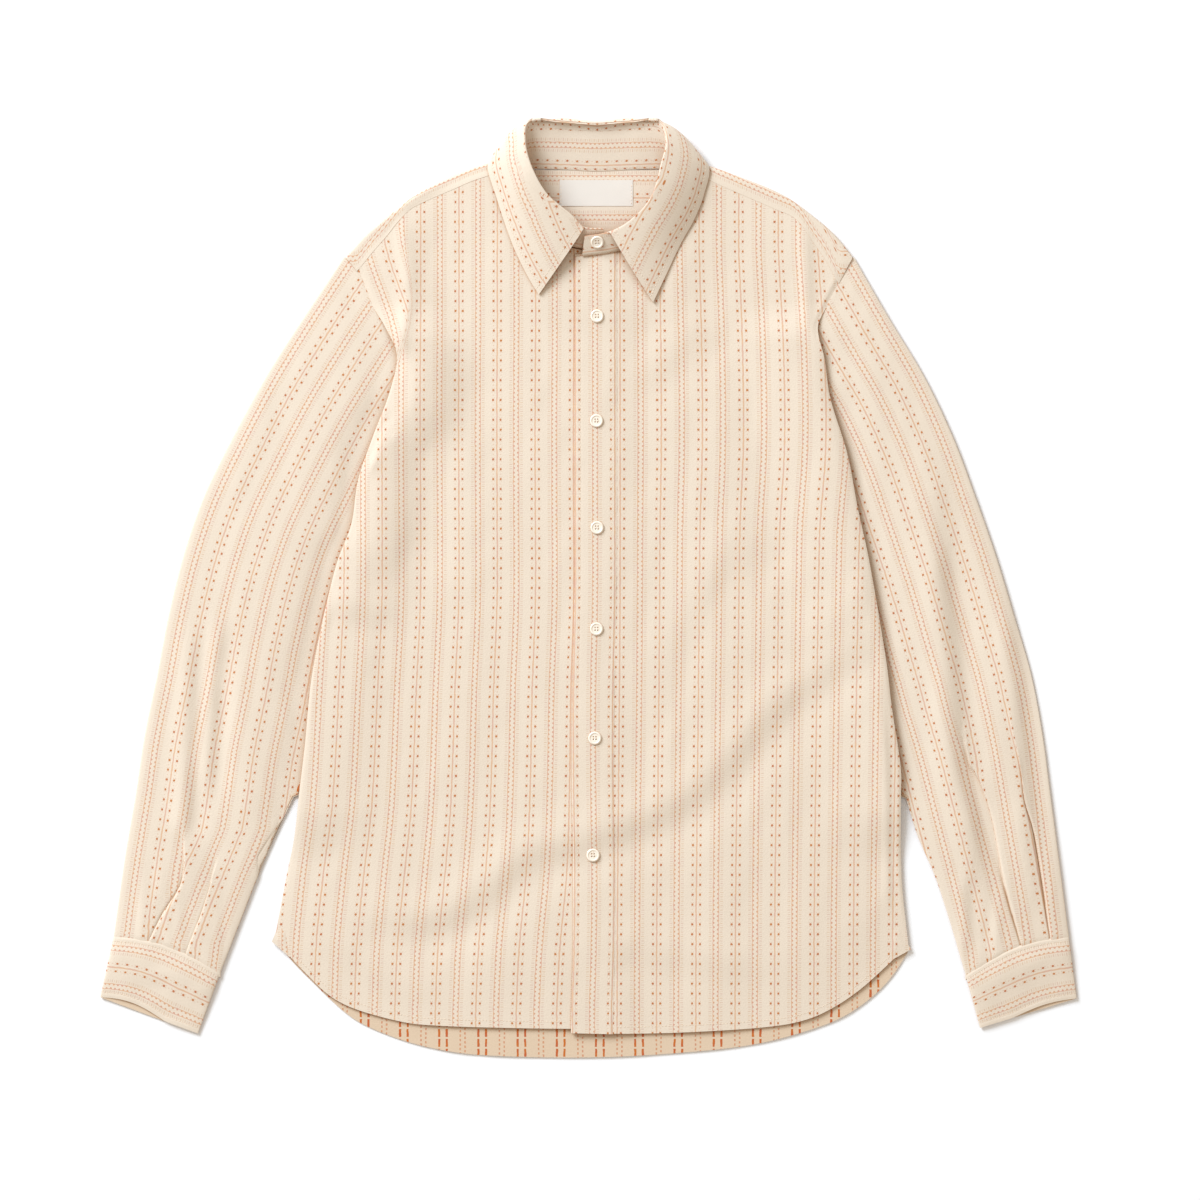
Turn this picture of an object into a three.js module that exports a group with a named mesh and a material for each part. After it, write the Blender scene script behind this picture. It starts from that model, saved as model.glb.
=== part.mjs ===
// Long-sleeved striped shirt with a stand collar, buttoned up and laid out flat on its back.
// Millimetres. +X runs across the chest, +Y towards the collar, +Z up from the surface it lies on.
// The origin lies on that surface under the middle of the body. Each cut piece is one mesh.
import * as THREE from 'three';

// Driving dimensions
const CLOTH = 1.2;            // wall of the body, sleeve, yoke and placket cloth
const COLLAR_WALL = 1.7;      // interlined collar leaf and stand
const CUFF_WALL = 1.6;        // interlined cuff
const SEAM_GAP = 0.4;         // clearance between two pieces that are sewn together
const SIDE_GAP = 0.9;         // the same where a front rolls down on the back's side edge
const CURVED_GAP = 1.1;       // the same along a curved seam, where straight facets meet
const FRONT_LIFT = 3.9;       // inside of the front above the surface, over the body
const OVERLAP_LIFT = 1.7;     // extra lift where the buttoned front lies on the other front
const NECK_LIFT = 1.5;        // extra lift of the fronts where they rise to the collar stand
const TUCK = 13;              // how far a sleeve lies in under the side of the body
const TUCK_LIFT = 4.6;        // height of the back where it lies over a tucked sleeve
const SLEEVE_HIGH = 5.4;      // flattened sleeve, outside, along its middle
const SLEEVE_LOW = 3.9;       // flattened sleeve, outside, where the body covers it
const SLEEVE_EDGE = 1.9;      // height of the outermost point of a rolled tube edge
const CUFF_HIGH = 7.0;        // flattened cuff, outside
const PLACKET_WIDTH = 37.5;
const UNDER_FRONT = 27;       // how far the under front reaches past the placket's edge
const BACK_SEAM_Y = 267;      // seam between yoke and back
const SEAM_SHOWS_Y = 205;     // the armhole seam shows above this and is covered by the body below
const UNDERARM_Y = 50;
const GAP_TOP_Y = -184;       // below this the sleeves hang clear of the body
const BUTTON_RADIUS = 5.65;
const BUTTON_THICK = 2.4;

// Side edge of the body, from the shoulder down to the hem corner
const LEFT_SIDE = [
  { y: 292, x: -215 }, { y: 278, x: -202 }, { y: 251, x: -191 }, { y: 229, x: -178 },
  { y: 205, x: -168 }, { y: 173, x: -174 }, { y: 133, x: -189 }, { y: 95, x: -202 },
  { y: 56, x: -208 }, { y: 24, x: -220 }, { y: -19, x: -231 }, { y: -80, x: -243 },
  { y: -140, x: -249 }, { y: -182, x: -254 }, { y: -218, x: -258 }, { y: -253, x: -265 },
  { y: -306, x: -275 },
];
const RIGHT_SIDE = [
  { y: 292, x: 234 }, { y: 268, x: 220 }, { y: 248, x: 210 }, { y: 229, x: 202 },
  { y: 201, x: 208 }, { y: 167, x: 213 }, { y: 118, x: 228 }, { y: 71, x: 237 },
  { y: 25, x: 247 }, { y: -63, x: 262 }, { y: -104, x: 267 }, { y: -159, x: 275 },
  { y: -188, x: 275 }, { y: -257, x: 276 }, { y: -316, x: 282 },
];

// Outer edge of each sleeve, from the shoulder point down to the cuff seam
const LEFT_SLEEVE_OUT = [
  { y: 292, x: -218 }, { y: 239, x: -253 }, { y: 187, x: -285 }, { y: 134, x: -313 },
  { y: 81, x: -338 }, { y: 28, x: -356 }, { y: -25, x: -369 }, { y: -77, x: -379 },
  { y: -130, x: -390 }, { y: -183, x: -398 }, { y: -236, x: -407 }, { y: -306, x: -417 },
];
const RIGHT_SLEEVE_OUT = [
  { y: 292, x: 238 }, { y: 239, x: 268 }, { y: 187, x: 298 }, { y: 134, x: 322 },
  { y: 81, x: 341 }, { y: 28, x: 359 }, { y: -25, x: 375 }, { y: -77, x: 390 },
  { y: -130, x: 400 }, { y: -183, x: 407 }, { y: -236, x: 414 }, { y: -306, x: 423 },
];
// Inner edge of each sleeve below the body's cover, down to the cuff seam
const LEFT_SLEEVE_IN = [
  { y: -184, x: -259 }, { y: -218, x: -275 }, { y: -253, x: -290 }, { y: -289, x: -304 },
  { y: -338, x: -323 },
];
const RIGHT_SLEEVE_IN = [
  { y: -186, x: 280 }, { y: -218, x: 290 }, { y: -253, x: 305 }, { y: -289, x: 317 },
  { y: -340, x: 332 },
];

// Shoulder line of the yoke's fold, and the seam of its front strips, from side to side
const SHOULDER = [
  { x: -217, y: 292 }, { x: -201, y: 310 }, { x: -180, y: 327 }, { x: -156, y: 345 },
  { x: -121, y: 363 }, { x: -87, y: 374 }, { x: -70, y: 374 }, { x: 88, y: 374 },
  { x: 106, y: 372 }, { x: 133, y: 363 }, { x: 177, y: 345 }, { x: 203, y: 327 },
  { x: 223, y: 310 }, { x: 238, y: 292 },
];
const FRONT_SEAM = [
  { x: -203, y: 280 }, { x: -190, y: 296 }, { x: -177, y: 311 }, { x: -165, y: 326 },
  { x: -154, y: 336 }, { x: -114, y: 354 }, { x: -97, y: 361 }, { x: -69, y: 368 },
  { x: 88, y: 368 }, { x: 113, y: 357 }, { x: 166, y: 334 }, { x: 184, y: 325 },
  { x: 199, y: 304 }, { x: 209, y: 290 }, { x: 220, y: 269 },
];
// Top edge of each front: yoke seam, then down along the neck
const LEFT_FRONT_TOP = [
  ...FRONT_SEAM.slice(0, 7), { x: -75, y: 366 }, { x: -69, y: 358 }, { x: -62, y: 343 },
  { x: -48, y: 321 }, { x: -26, y: 304 }, { x: -5, y: 297 }, { x: 17, y: 296 },
];
const RIGHT_FRONT_TOP = [
  { x: -13, y: 293 }, { x: -3, y: 294 }, { x: 21, y: 298 }, { x: 43, y: 305 },
  { x: 63, y: 319 }, { x: 80, y: 339 }, { x: 86, y: 353 }, { x: 93, y: 363 },
  ...FRONT_SEAM.slice(9),
];
// Hems: the shirt tail of the back reaches lower than the fronts
const BACK_HEM = [
  { x: -277, y: -307 }, { x: -264, y: -324 }, { x: -248, y: -341 }, { x: -209, y: -377 },
  { x: -174, y: -394 }, { x: -136, y: -405 }, { x: -93, y: -411 }, { x: 4, y: -413 },
  { x: 93, y: -408 }, { x: 149, y: -401 }, { x: 195, y: -389 }, { x: 225, y: -377 },
  { x: 251, y: -359 }, { x: 268, y: -341 }, { x: 283, y: -318 },
];
const LEFT_HEM = [
  { x: -277, y: -306 }, { x: -264, y: -322 }, { x: -248, y: -339 }, { x: -228, y: -358 },
  { x: -208, y: -369 }, { x: -175, y: -379 }, { x: -147, y: -384 }, { x: -67, y: -387 },
  { x: 17, y: -388 },
];
const RIGHT_HEM = [
  { x: -16, y: -391 }, { x: 40, y: -392 }, { x: 103, y: -390 }, { x: 167, y: -385 },
  { x: 197, y: -378 }, { x: 221, y: -366 }, { x: 242, y: -351 }, { x: 262, y: -333 },
  { x: 283, y: -313 },
];
// Free edge of the buttoned front
const FRONT_EDGE = [
  { y: 300, x: -11 }, { y: 25, x: -9 }, { y: -220, x: -11.5 }, { y: -308, x: -12 },
  { y: -392, x: -15 },
];

// Largest folds: a soft ridge (or, with a rise below zero, a trough) from one end to the other
const FRONT_FOLDS = [
  { ax: -163, ay: 326, bx: -156, by: 255, half: 7, rise: 3.0 },
  { ax: -156, ay: 258, bx: -166, by: 206, half: 7, rise: 3.2 },
  { ax: -176, ay: 146, bx: -193, by: 100, half: 9, rise: 2.6 },
  { ax: -118, ay: 262, bx: -138, by: 60, half: 17, rise: -0.9 },
  { ax: 190, ay: 322, bx: 193, by: 226, half: 6, rise: 3.4 },
  { ax: 164, ay: 250, bx: 190, by: 40, half: 18, rise: -0.9 },
  { ax: 225, ay: 20, bx: 247, by: -150, half: 12, rise: 1.5 },
  { ax: -232, ay: -120, bx: -226, by: -290, half: 14, rise: 1.3 },
];
const SLEEVE_FOLDS = [
  { ax: -350, ay: -236, bx: -383, by: -318, half: 6, rise: 2.6 },
  { ax: -332, ay: -262, bx: -352, by: -322, half: 7, rise: -1.2 },
  { ax: -272, ay: -205, bx: -296, by: -252, half: 5, rise: 1.4 },
  { ax: -300, ay: 120, bx: -338, by: -60, half: 16, rise: 1.4 },
  { ax: 321, ay: -95, bx: 348, by: -189, half: 9, rise: 1.6 },
  { ax: 346, ay: -180, bx: 383, by: -318, half: 6, rise: 2.6 },
  { ax: 374, ay: -120, bx: 407, by: -312, half: 6, rise: 2.2 },
  { ax: 290, ay: 110, bx: 330, by: -50, half: 16, rise: 1.4 },
];

// Collar sections, from the under end round the back of the neck to the end that is buttoned over
// it: neck seam (nx, ny, nz) and top fold (fx, fy, fz) of the stand.
const STAND = [
  { nx: 16, ny: 299, nz: 7.0, fx: 14, fy: 316, fz: 20 },
  { nx: -5, ny: 300, nz: 7.1, fx: -3, fy: 317, fz: 22.5 },
  { nx: -25, ny: 306, nz: 7.4, fx: -15, fy: 327, fz: 27 },
  { nx: -47, ny: 323, nz: 7.6, fx: -36, fy: 345, fz: 30 },
  { nx: -61, ny: 345, nz: 7.6, fx: -49, fy: 368, fz: 31 },
  { nx: -67, ny: 362, nz: 6.6, fx: -54, fy: 391, fz: 27 },
  { nx: -56, ny: 369, nz: 3.8, fx: -49, fy: 407, fz: 17 },
  { nx: -25, ny: 369, nz: 3.4, fx: -25, fy: 406, fz: 9.5 },
  { nx: 8, ny: 368, nz: 3.4, fx: 7, fy: 404, fz: 8.5 },
  { nx: 41, ny: 369, nz: 3.4, fx: 38, fy: 406, fz: 9.5 },
  { nx: 71, ny: 369, nz: 3.8, fx: 61, fy: 407, fz: 17 },
  { nx: 85, ny: 361, nz: 6.6, fx: 68, fy: 391, fz: 27 },
  { nx: 84, ny: 347, nz: 7.6, fx: 64, fy: 370, fz: 31 },
  { nx: 76, ny: 331, nz: 7.7, fx: 59, fy: 350, fz: 31 },
  { nx: 60, ny: 315, nz: 7.8, fx: 50, fy: 334, fz: 30 },
  { nx: 40, ny: 302, nz: 8.0, fx: 34, fy: 320, fz: 27.5 },
  { nx: 19, ny: 296, nz: 10.5, fx: 16, fy: 312, fz: 25 },
  { nx: -5, ny: 293, nz: 10.7, fx: -3, fy: 309, fz: 24 },
];
// Leaf sections, from one point round to the other: where the leaf leaves the stand (fx, fy, fz),
// a point halfway across it (mx, my, mz) and its free edge (ex, ey, ez).
const LEAF = [
  { fx: -4, fy: 315, fz: 26, mx: -20, my: 291, mz: 19, ex: -43, ey: 258, ez: 7.4 },
  { fx: -15, fy: 327, fz: 29.5, mx: -33, my: 303, mz: 21, ex: -53, ey: 275, ez: 7.4 },
  { fx: -36, fy: 345, fz: 32.5, mx: -50, my: 328, mz: 23, ex: -66, ey: 303, ez: 7.4 },
  { fx: -49, fy: 368, fz: 33.5, mx: -64, my: 356, mz: 23, ex: -79, ey: 342, ez: 7.2 },
  { fx: -55, fy: 391, fz: 29.5, mx: -73, my: 381, mz: 17, ex: -87, ey: 372, ez: 6.2 },
  { fx: -51, fy: 408, fz: 19, mx: -68, my: 398, mz: 8, ex: -72, ey: 380, ez: 2.1 },
  { fx: -25, fy: 408, fz: 11.5, mx: -28, my: 407, mz: 4.2, ex: -30, ey: 377, ez: 2.0 },
  { fx: 7, fy: 406, fz: 10.5, mx: 7, my: 405, mz: 4, ex: 7, ey: 377, ez: 2.0 },
  { fx: 38, fy: 408, fz: 11.5, mx: 41, my: 407, mz: 4.2, ex: 43, ey: 377, ez: 2.0 },
  { fx: 63, fy: 408, fz: 19, mx: 80, my: 398, mz: 8, ex: 86, ey: 380, ez: 2.1 },
  { fx: 69, fy: 391, fz: 29.5, mx: 90, my: 381, mz: 17, ex: 105, ey: 370, ez: 6.2 },
  { fx: 64, fy: 370, fz: 33.5, mx: 84, my: 358, mz: 23, ex: 101, ey: 346, ez: 7.2 },
  { fx: 59, fy: 350, fz: 33.5, mx: 76, my: 337, mz: 23, ex: 93, ey: 325, ez: 7.4 },
  { fx: 50, fy: 334, fz: 32.5, mx: 64, my: 316, mz: 22, ex: 81, ey: 303, ez: 7.4 },
  { fx: 34, fy: 319, fz: 30, mx: 49, my: 298, mz: 21, ex: 68, ey: 275, ez: 7.6 },
  { fx: 20, fy: 311, fz: 27.5, mx: 36, my: 284, mz: 19, ex: 57, ey: 251, ez: 7.6 },
];
const FRONT_BUTTONS = [
  { x: 8, y: 239 }, { x: 7.5, y: 147 }, { x: 8, y: 53 }, { x: 7.5, y: -36 },
  { x: 6, y: -132 }, { x: 4.5, y: -235 },
];
const COLLAR_BUTTON = { station: 0.967, up: 0.62 };  // place along and up the stand
// Gusset at each hem corner, where front and back meet: its four corners
const GUSSETS = {
  left: [[-272, -297], [-266, -299], [-278, -311], [-262, -325]],
  right: [[268, -297], [273, -296], [264, -329], [284, -318]],
};
const LABEL = { left: -25, right: 39.5, top: 359, bottom: 336, wall: 0.9 };

const clamp01 = (t) => Math.min(1, Math.max(0, t));
const smooth = (t) => clamp01(t) ** 2 * (3 - 2 * clamp01(t));
const mix = (a, b, t) => a + (b - a) * t;

// Value of column `out` where column `by` equals `at`: a cubic through the rows of a table.
function along(table, by, out, at) {
  const rising = table[table.length - 1][by] > table[0][by];
  const rows = rising ? table : [...table].reverse();
  const last = rows.length - 1;
  if (at <= rows[0][by]) return rows[0][out];
  if (at >= rows[last][by]) return rows[last][out];
  const i = rows.findIndex((row) => row[by] > at) - 1;
  const slope = (k) => {
    const a = rows[Math.max(0, k - 1)];
    const b = rows[Math.min(last, k + 1)];
    return (b[out] - a[out]) / (b[by] - a[by]);
  };
  const step = rows[i + 1][by] - rows[i][by];
  const t = (at - rows[i][by]) / step;
  const [t2, t3] = [t * t, t * t * t];
  return (2 * t3 - 3 * t2 + 1) * rows[i][out] + (t3 - 2 * t2 + t) * step * slope(i)
    + (3 * t2 - 2 * t3) * rows[i + 1][out] + (t3 - t2) * step * slope(i + 1);
}

const leftSide = (y) => along(LEFT_SIDE, 'y', 'x', y);
const rightSide = (y) => along(RIGHT_SIDE, 'y', 'x', y);
const frontEdge = (y) => along(FRONT_EDGE, 'y', 'x', y);

// Sum of the soft ridges and troughs of a fold table at one point.
function foldHeight(folds, x, y) {
  return folds.reduce((sum, f) => {
    const [dx, dy] = [f.bx - f.ax, f.by - f.ay];
    const length = Math.hypot(dx, dy);
    const t = ((x - f.ax) * dx + (y - f.ay) * dy) / length ** 2;
    const off = ((x - f.ax) * dy - (y - f.ay) * dx) / length;
    const taper = smooth((t + 0.12) / 0.35) * smooth((1.12 - t) / 0.35);
    return sum + f.rise * taper * Math.exp(-((off / f.half) ** 2));
  }, 0);
}

// Height of the inside of the back above the surface: the panel lies on the surface and rises
// over the sleeves that are tucked under its sides.
function backHeight(x, y) {
  const inFromSide = Math.min(x - leftSide(y), rightSide(y) - x);
  const stretch = smooth((252 - y) / 36) * smooth((y - GAP_TOP_Y + 60) / 52);
  return TUCK_LIFT * stretch * smooth((TUCK + 35 - inFromSide) / 32);
}

// Height of the inside of the fronts: rolled round at the side seams, lifted over the body and
// towards the neck, low at the hem, with the largest folds.
function frontHeight(x, y, hem) {
  const inFromSide = Math.max(0, Math.min(x - leftSide(y), rightSide(y) - x));
  const q = clamp01(inFromSide / 15);
  const roll = mix(1, Math.sqrt(1 - (1 - q) ** 2), smooth((SEAM_SHOWS_Y + 10 - y) / 20));
  const nearHem = mix(0.2, 1, smooth((y - along(hem, 'x', 'y', x)) / 70));
  const neck = Math.hypot((x - 8) / 100, (y - 338) / 88);
  const rest = CLOTH + SIDE_GAP;
  return backHeight(x, y) + rest + (FRONT_LIFT - rest) * roll * nearHem
    + NECK_LIFT * smooth((1.4 - neck) / 0.45)
    + foldHeight(FRONT_FOLDS, x, y) * roll * smooth(inFromSide / 10);
}
const leftFrontHeight = (x, y) => frontHeight(x, y, LEFT_HEM);
const rightFrontHeight = (x, y) => frontHeight(x, y, RIGHT_HEM)
  + OVERLAP_LIFT * smooth((52 - x) / 30);

// Closed wall between two grids of points, rows by columns. `wrap` joins the last column to the
// first, and `keep` says which quads are cloth. Its rim is closed all round.
function wallBetween(inner, outer, { wrap = false, keep = () => true } = {}) {
  const [rows, cols] = [inner.length, inner[0].length];
  const used = new Map();
  const positions = [];
  const vertex = (r, c, side) => {
    const key = (side * rows + r) * cols + (c % cols);
    if (!used.has(key)) {
      used.set(key, used.size);
      positions.push(...(side ? outer : inner)[r][c % cols].toArray());
    }
    return used.get(key);
  };
  const index = [];
  const rim = new Map();
  for (let r = 0; r < rows - 1; r += 1) {
    for (let c = 0; c < (wrap ? cols : cols - 1); c += 1) {
      if (keep(r, c)) {
        const corners = [[r, c], [r, c + 1], [r + 1, c + 1], [r + 1, c]];
        const [a, b, d, e] = corners.map(([i, j]) => vertex(i, j, 1));
        const [p, q, s, t] = corners.map(([i, j]) => vertex(i, j, 0));
        index.push(a, b, d, a, d, e, q, p, s, s, p, t);
        corners.forEach(([i, j], k) => {
          const [m, n] = corners[(k + 1) % 4];
          const ends = [`${i},${j % cols}`, `${m},${n % cols}`];
          if (!rim.delete(`${ends[1]}>${ends[0]}`)) {
            rim.set(`${ends[0]}>${ends[1]}`, [i, j, m, n]);
          }
        });
      }
    }
  }
  rim.forEach(([i, j, m, n]) => {
    const [a, b] = [vertex(i, j, 1), vertex(m, n, 1)];
    const [p, q] = [vertex(i, j, 0), vertex(m, n, 0)];
    index.push(b, a, p, b, p, q);
  });
  return closedGeometry(positions, index);
}

// Geometry from points and triangles, with its faces turned to point out.
function closedGeometry(positions, index) {
  const at = (i) => new THREE.Vector3().fromArray(positions, 3 * i);
  let volume = 0;
  for (let k = 0; k < index.length; k += 3) {
    volume += at(index[k]).dot(at(index[k + 1]).cross(at(index[k + 2])));
  }
  const turned = volume < 0 ? [...index].reverse() : index;
  const geometry = new THREE.BufferGeometry();
  geometry.setAttribute('position', new THREE.Float32BufferAttribute(positions, 3));
  geometry.setIndex(turned);
  geometry.computeVertexNormals();
  return geometry;
}

// Points of a grid moved along the surface's own normals. `side` picks which way they point.
function movedOut(grid, distance, side = 1) {
  const [rows, cols] = [grid.length, grid[0].length];
  return grid.map((row, r) => row.map((point, c) => {
    const across = grid[r][Math.min(cols - 1, c + 1)].clone().sub(grid[r][Math.max(0, c - 1)]);
    const down = grid[Math.min(rows - 1, r + 1)][c].clone().sub(grid[Math.max(0, r - 1)][c]);
    const normal = across.cross(down).normalize().multiplyScalar(-side * distance);
    return point.clone().add(normal);
  }));
}

const range = (n, f) => Array.from({ length: n + 1 }, (_, i) => f(i / n, i));

// Grid over a panel between its left and right edges (x by y) and its top and bottom edges
// (y by x). `spread` places the columns from 0 to 1.
function panelGrid({ rows, cols, left, right, top, bottom, height, spread = (u) => u }) {
  return range(rows, (s) => range(cols, (t) => {
    const [u, v] = [spread(t), closeAtEnds(s)];
    let [x, y] = [0, 0];
    for (let pass = 0; pass < 60; pass += 1) {
      x = mix(x, mix(left(y), right(y), u), 0.6);
      y = mix(y, mix(top(x), bottom(x), v), 0.6);
    }
    return new THREE.Vector3(x, y, height(x, y));
  }));
}
// Columns closer together at both ends, for rolled side edges.
const closeAtEnds = (t) => mix(t, (1 - Math.cos(Math.PI * t)) / 2, 0.75);
// Columns closer together at the start or at the end.
const closeAtStart = (t) => mix(t, 1 - Math.cos((Math.PI / 2) * t), 0.75);
const closeAtEnd = (t) => 1 - closeAtStart(1 - t);

const cloth = new THREE.MeshStandardMaterial({ color: 0xefddca, roughness: 0.92, metalness: 0 });
const shell = new THREE.MeshStandardMaterial({ color: 0xf2e8dc, roughness: 0.3, metalness: 0 });
const satin = new THREE.MeshStandardMaterial({ color: 0xf3ebe2, roughness: 0.5, metalness: 0 });
const shirt = new THREE.Group();

function addPiece(name, geometry, material = cloth) {
  const mesh = new THREE.Mesh(geometry, material);
  mesh.name = name;
  shirt.add(mesh);
  return mesh;
}

// Back: one wide panel from the yoke seam to the rounded tail.
function makeBack() {
  const grid = panelGrid({
    rows: 20,
    cols: 20,
    left: (y) => leftSide(y) + 0.6,
    right: (y) => rightSide(y) - 0.6,
    top: () => BACK_SEAM_Y - SEAM_GAP,
    bottom: (x) => along(BACK_HEM, 'x', 'y', x),
    height: backHeight,
    spread: closeAtEnds,
  });
  addPiece('back', wallBetween(grid, movedOut(grid, CLOTH)));
}

// Wall whose inside is a grid and whose outside lies a wall's thickness above it.
function raisedWall(grid, wall) {
  return wallBetween(grid, movedOut(grid, wall));
}

// Fronts: from the yoke seam and the neck down to the hem, one buttoned over the other.
function makeFronts() {
  addPiece('front_left', raisedWall(panelGrid({
    rows: 22,
    cols: 15,
    left: leftSide,
    right: (y) => frontEdge(y) + UNDER_FRONT,
    top: (x) => along(LEFT_FRONT_TOP, 'x', 'y', x) - SEAM_GAP,
    bottom: (x) => along(LEFT_HEM, 'x', 'y', x),
    height: leftFrontHeight,
    spread: closeAtStart,
  }), CLOTH));
  addPiece('front_right', raisedWall(panelGrid({
    rows: 22,
    cols: 15,
    left: frontEdge,
    right: rightSide,
    top: (x) => along(RIGHT_FRONT_TOP, 'x', 'y', x) - SEAM_GAP,
    bottom: (x) => along(RIGHT_HEM, 'x', 'y', x),
    height: rightFrontHeight,
    spread: closeAtEnd,
  }), CLOTH));
}

const placketHeight = (x, y) => rightFrontHeight(x, y) + CLOTH + SEAM_GAP;
const placketTop = (x) => along(RIGHT_FRONT_TOP, 'x', 'y', x) - 2;

// Placket: the strip along the buttoned front's edge, laid on that front.
function makePlacket() {
  addPiece('placket', raisedWall(panelGrid({
    rows: 20,
    cols: 3,
    left: frontEdge,
    right: (y) => frontEdge(y) + PLACKET_WIDTH,
    top: placketTop,
    bottom: (x) => along(RIGHT_HEM, 'x', 'y', x) - 0.5,
    height: placketHeight,
  }), CLOTH));
}

// Yoke: lies on the surface behind the neck, folds over both shoulders and ends in a strip on
// each front. Rows run from the front seam over the fold to the back seam.
const YOKE_COLUMNS = [
  -217, -209, -196, -184, -172, -162, -150, -130, -108, -87, -72, -56, -25, 8, 41, 74,
  90, 108, 133, 158, 178, 192, 205, 222, 238,
];
const YOKE_NECK = { from: -72, to: 90, y: 367.5 };
// y of the yoke's ends at the front seam, the shoulder fold and the back seam
const YOKE_ENDS = { left: [280, 289, 267], right: [269, 289, 267] };
function makeYoke() {
  const inside = FRONT_LIFT;
  const bend = (inside - CLOTH) / 2;
  const [first, last] = [YOKE_COLUMNS[0], YOKE_COLUMNS[YOKE_COLUMNS.length - 1]];
  const endY = ([front, fold, back], t) => (t <= 1 ? mix(front, fold, t)
    : mix(fold, back, clamp01(t - 2)));
  const section = (t) => YOKE_COLUMNS.map((foldX) => {
    const endLeft = leftSide(endY(YOKE_ENDS.left, t));
    const endRight = rightSide(endY(YOKE_ENDS.right, t));
    const x = mix(endLeft, endRight, (foldX - first) / (last - first));
    const foldY = along(SHOULDER, 'x', 'y', foldX) - CLOTH - bend;
    const neck = foldX > YOKE_NECK.from && foldX < YOKE_NECK.to;
    if (t <= 1) {
      const seamY = along(FRONT_SEAM, 'x', 'y', x) + CURVED_GAP;
      return new THREE.Vector3(x, mix(seamY, Math.max(seamY + 1, foldY), t), inside);
    }
    if (t < 2) {
      const angle = Math.PI * (t - 1);
      const y = (neck ? YOKE_NECK.y : foldY) + bend * Math.sin(angle);
      return new THREE.Vector3(x, y, inside - bend + bend * Math.cos(angle));
    }
    const start = neck ? YOKE_NECK.y : foldY - 0.6;
    return new THREE.Vector3(x, mix(start, BACK_SEAM_Y + SEAM_GAP, t - 2), CLOTH);
  });
  const stations = [0, 0.5, 1, 1.25, 1.5, 1.75, 2, 2.2, 2.5, 3];
  const grid = stations.map(section);
  const keep = (r, c) => {
    const middle = (YOKE_COLUMNS[c] + YOKE_COLUMNS[c + 1]) / 2;
    return stations[r] >= 2 || middle < YOKE_NECK.from || middle > YOKE_NECK.to;
  };
  addPiece('yoke', wallBetween(grid, movedOut(grid, CLOTH, -1), { keep }));
}

// Flattened tube. `path(v, u, top)` gives the outer x and y of a layer at v along and u across,
// `high(v, u, x, y)` its outer height; the under layer lies on the surface.
function flatTube({ stations, topSteps, underSteps, path, high, wall }) {
  const loop = (inset) => stations.map((v) => {
    const start = path(v, 0, true);
    const end = path(v, 1, true);
    const share = inset / Math.hypot(end[0] - start[0], end[1] - start[1]);
    const place = (a, top) => {
      const u = mix(share, 1 - share, (1 - Math.cos(Math.PI * a)) / 2);
      const fullness = Math.sin(Math.PI * a) ** 0.45;
      const [x, y] = path(v, u, top);
      const outer = top ? mix(SLEEVE_EDGE, high(v, u, x, y), fullness)
        : mix(SLEEVE_EDGE, 0, fullness);
      return new THREE.Vector3(x, y, outer + inset * fullness * (top ? -1 : 1));
    };
    return [
      ...range(topSteps, (a) => place(a, true)).slice(0, -1),
      ...range(underSteps, (a) => place(1 - a, false)).slice(0, -1),
    ];
  });
  return wallBetween(loop(wall), loop(0), { wrap: true });
}

// What differs between the two sleeves and cuffs. `sign` is -1 on the side of the under front.
const SIDES = [
  {
    name: 'left', sign: -1, side: leftSide, outer: LEFT_SLEEVE_OUT, inner: LEFT_SLEEVE_IN,
    cuffOut: [-429, -360], cuffIn: [-343, -392], mouth: 7,
  },
  {
    name: 'right', sign: 1, side: rightSide, outer: RIGHT_SLEEVE_OUT, inner: RIGHT_SLEEVE_IN,
    cuffOut: [430, -361], cuffIn: [345, -387], mouth: 4,
  },
];
const CUFF_BOW = 8;           // how far the cuff seam bows up towards the sleeve

// How far the sleeve lies in under the body's side at a height.
function tuckAt(y) {
  return TUCK * smooth((SEAM_SHOWS_Y - y) / 32) * smooth((y - GAP_TOP_Y) / 40);
}

// Line of a sleeve's armhole end: along the seam, then under the body to the underarm.
function armhole(part, u) {
  const y = mix(291, UNDERARM_Y, u ** 1.05);
  return [part.side(y) - part.sign * (tuckAt(y) - CURVED_GAP - 0.4), y];
}

// Inner edge of a sleeve, from the underarm down to the cuff seam.
function sleeveInner(part, v) {
  const y = mix(UNDERARM_Y, part.inner[part.inner.length - 1].y, v);
  const covered = part.side(y) - part.sign * tuckAt(y);
  return [y > GAP_TOP_Y ? covered : along(part.inner, 'y', 'x', y), y];
}

function sleeveOuter(part, v) {
  const y = mix(part.outer[0].y, part.outer[part.outer.length - 1].y, v);
  return [along(part.outer, 'y', 'x', y), y];
}

// Bow of the cuff seam away from the straight line between its ends.
const cuffBow = (u) => CUFF_BOW * Math.sin(Math.PI * u);

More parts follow.
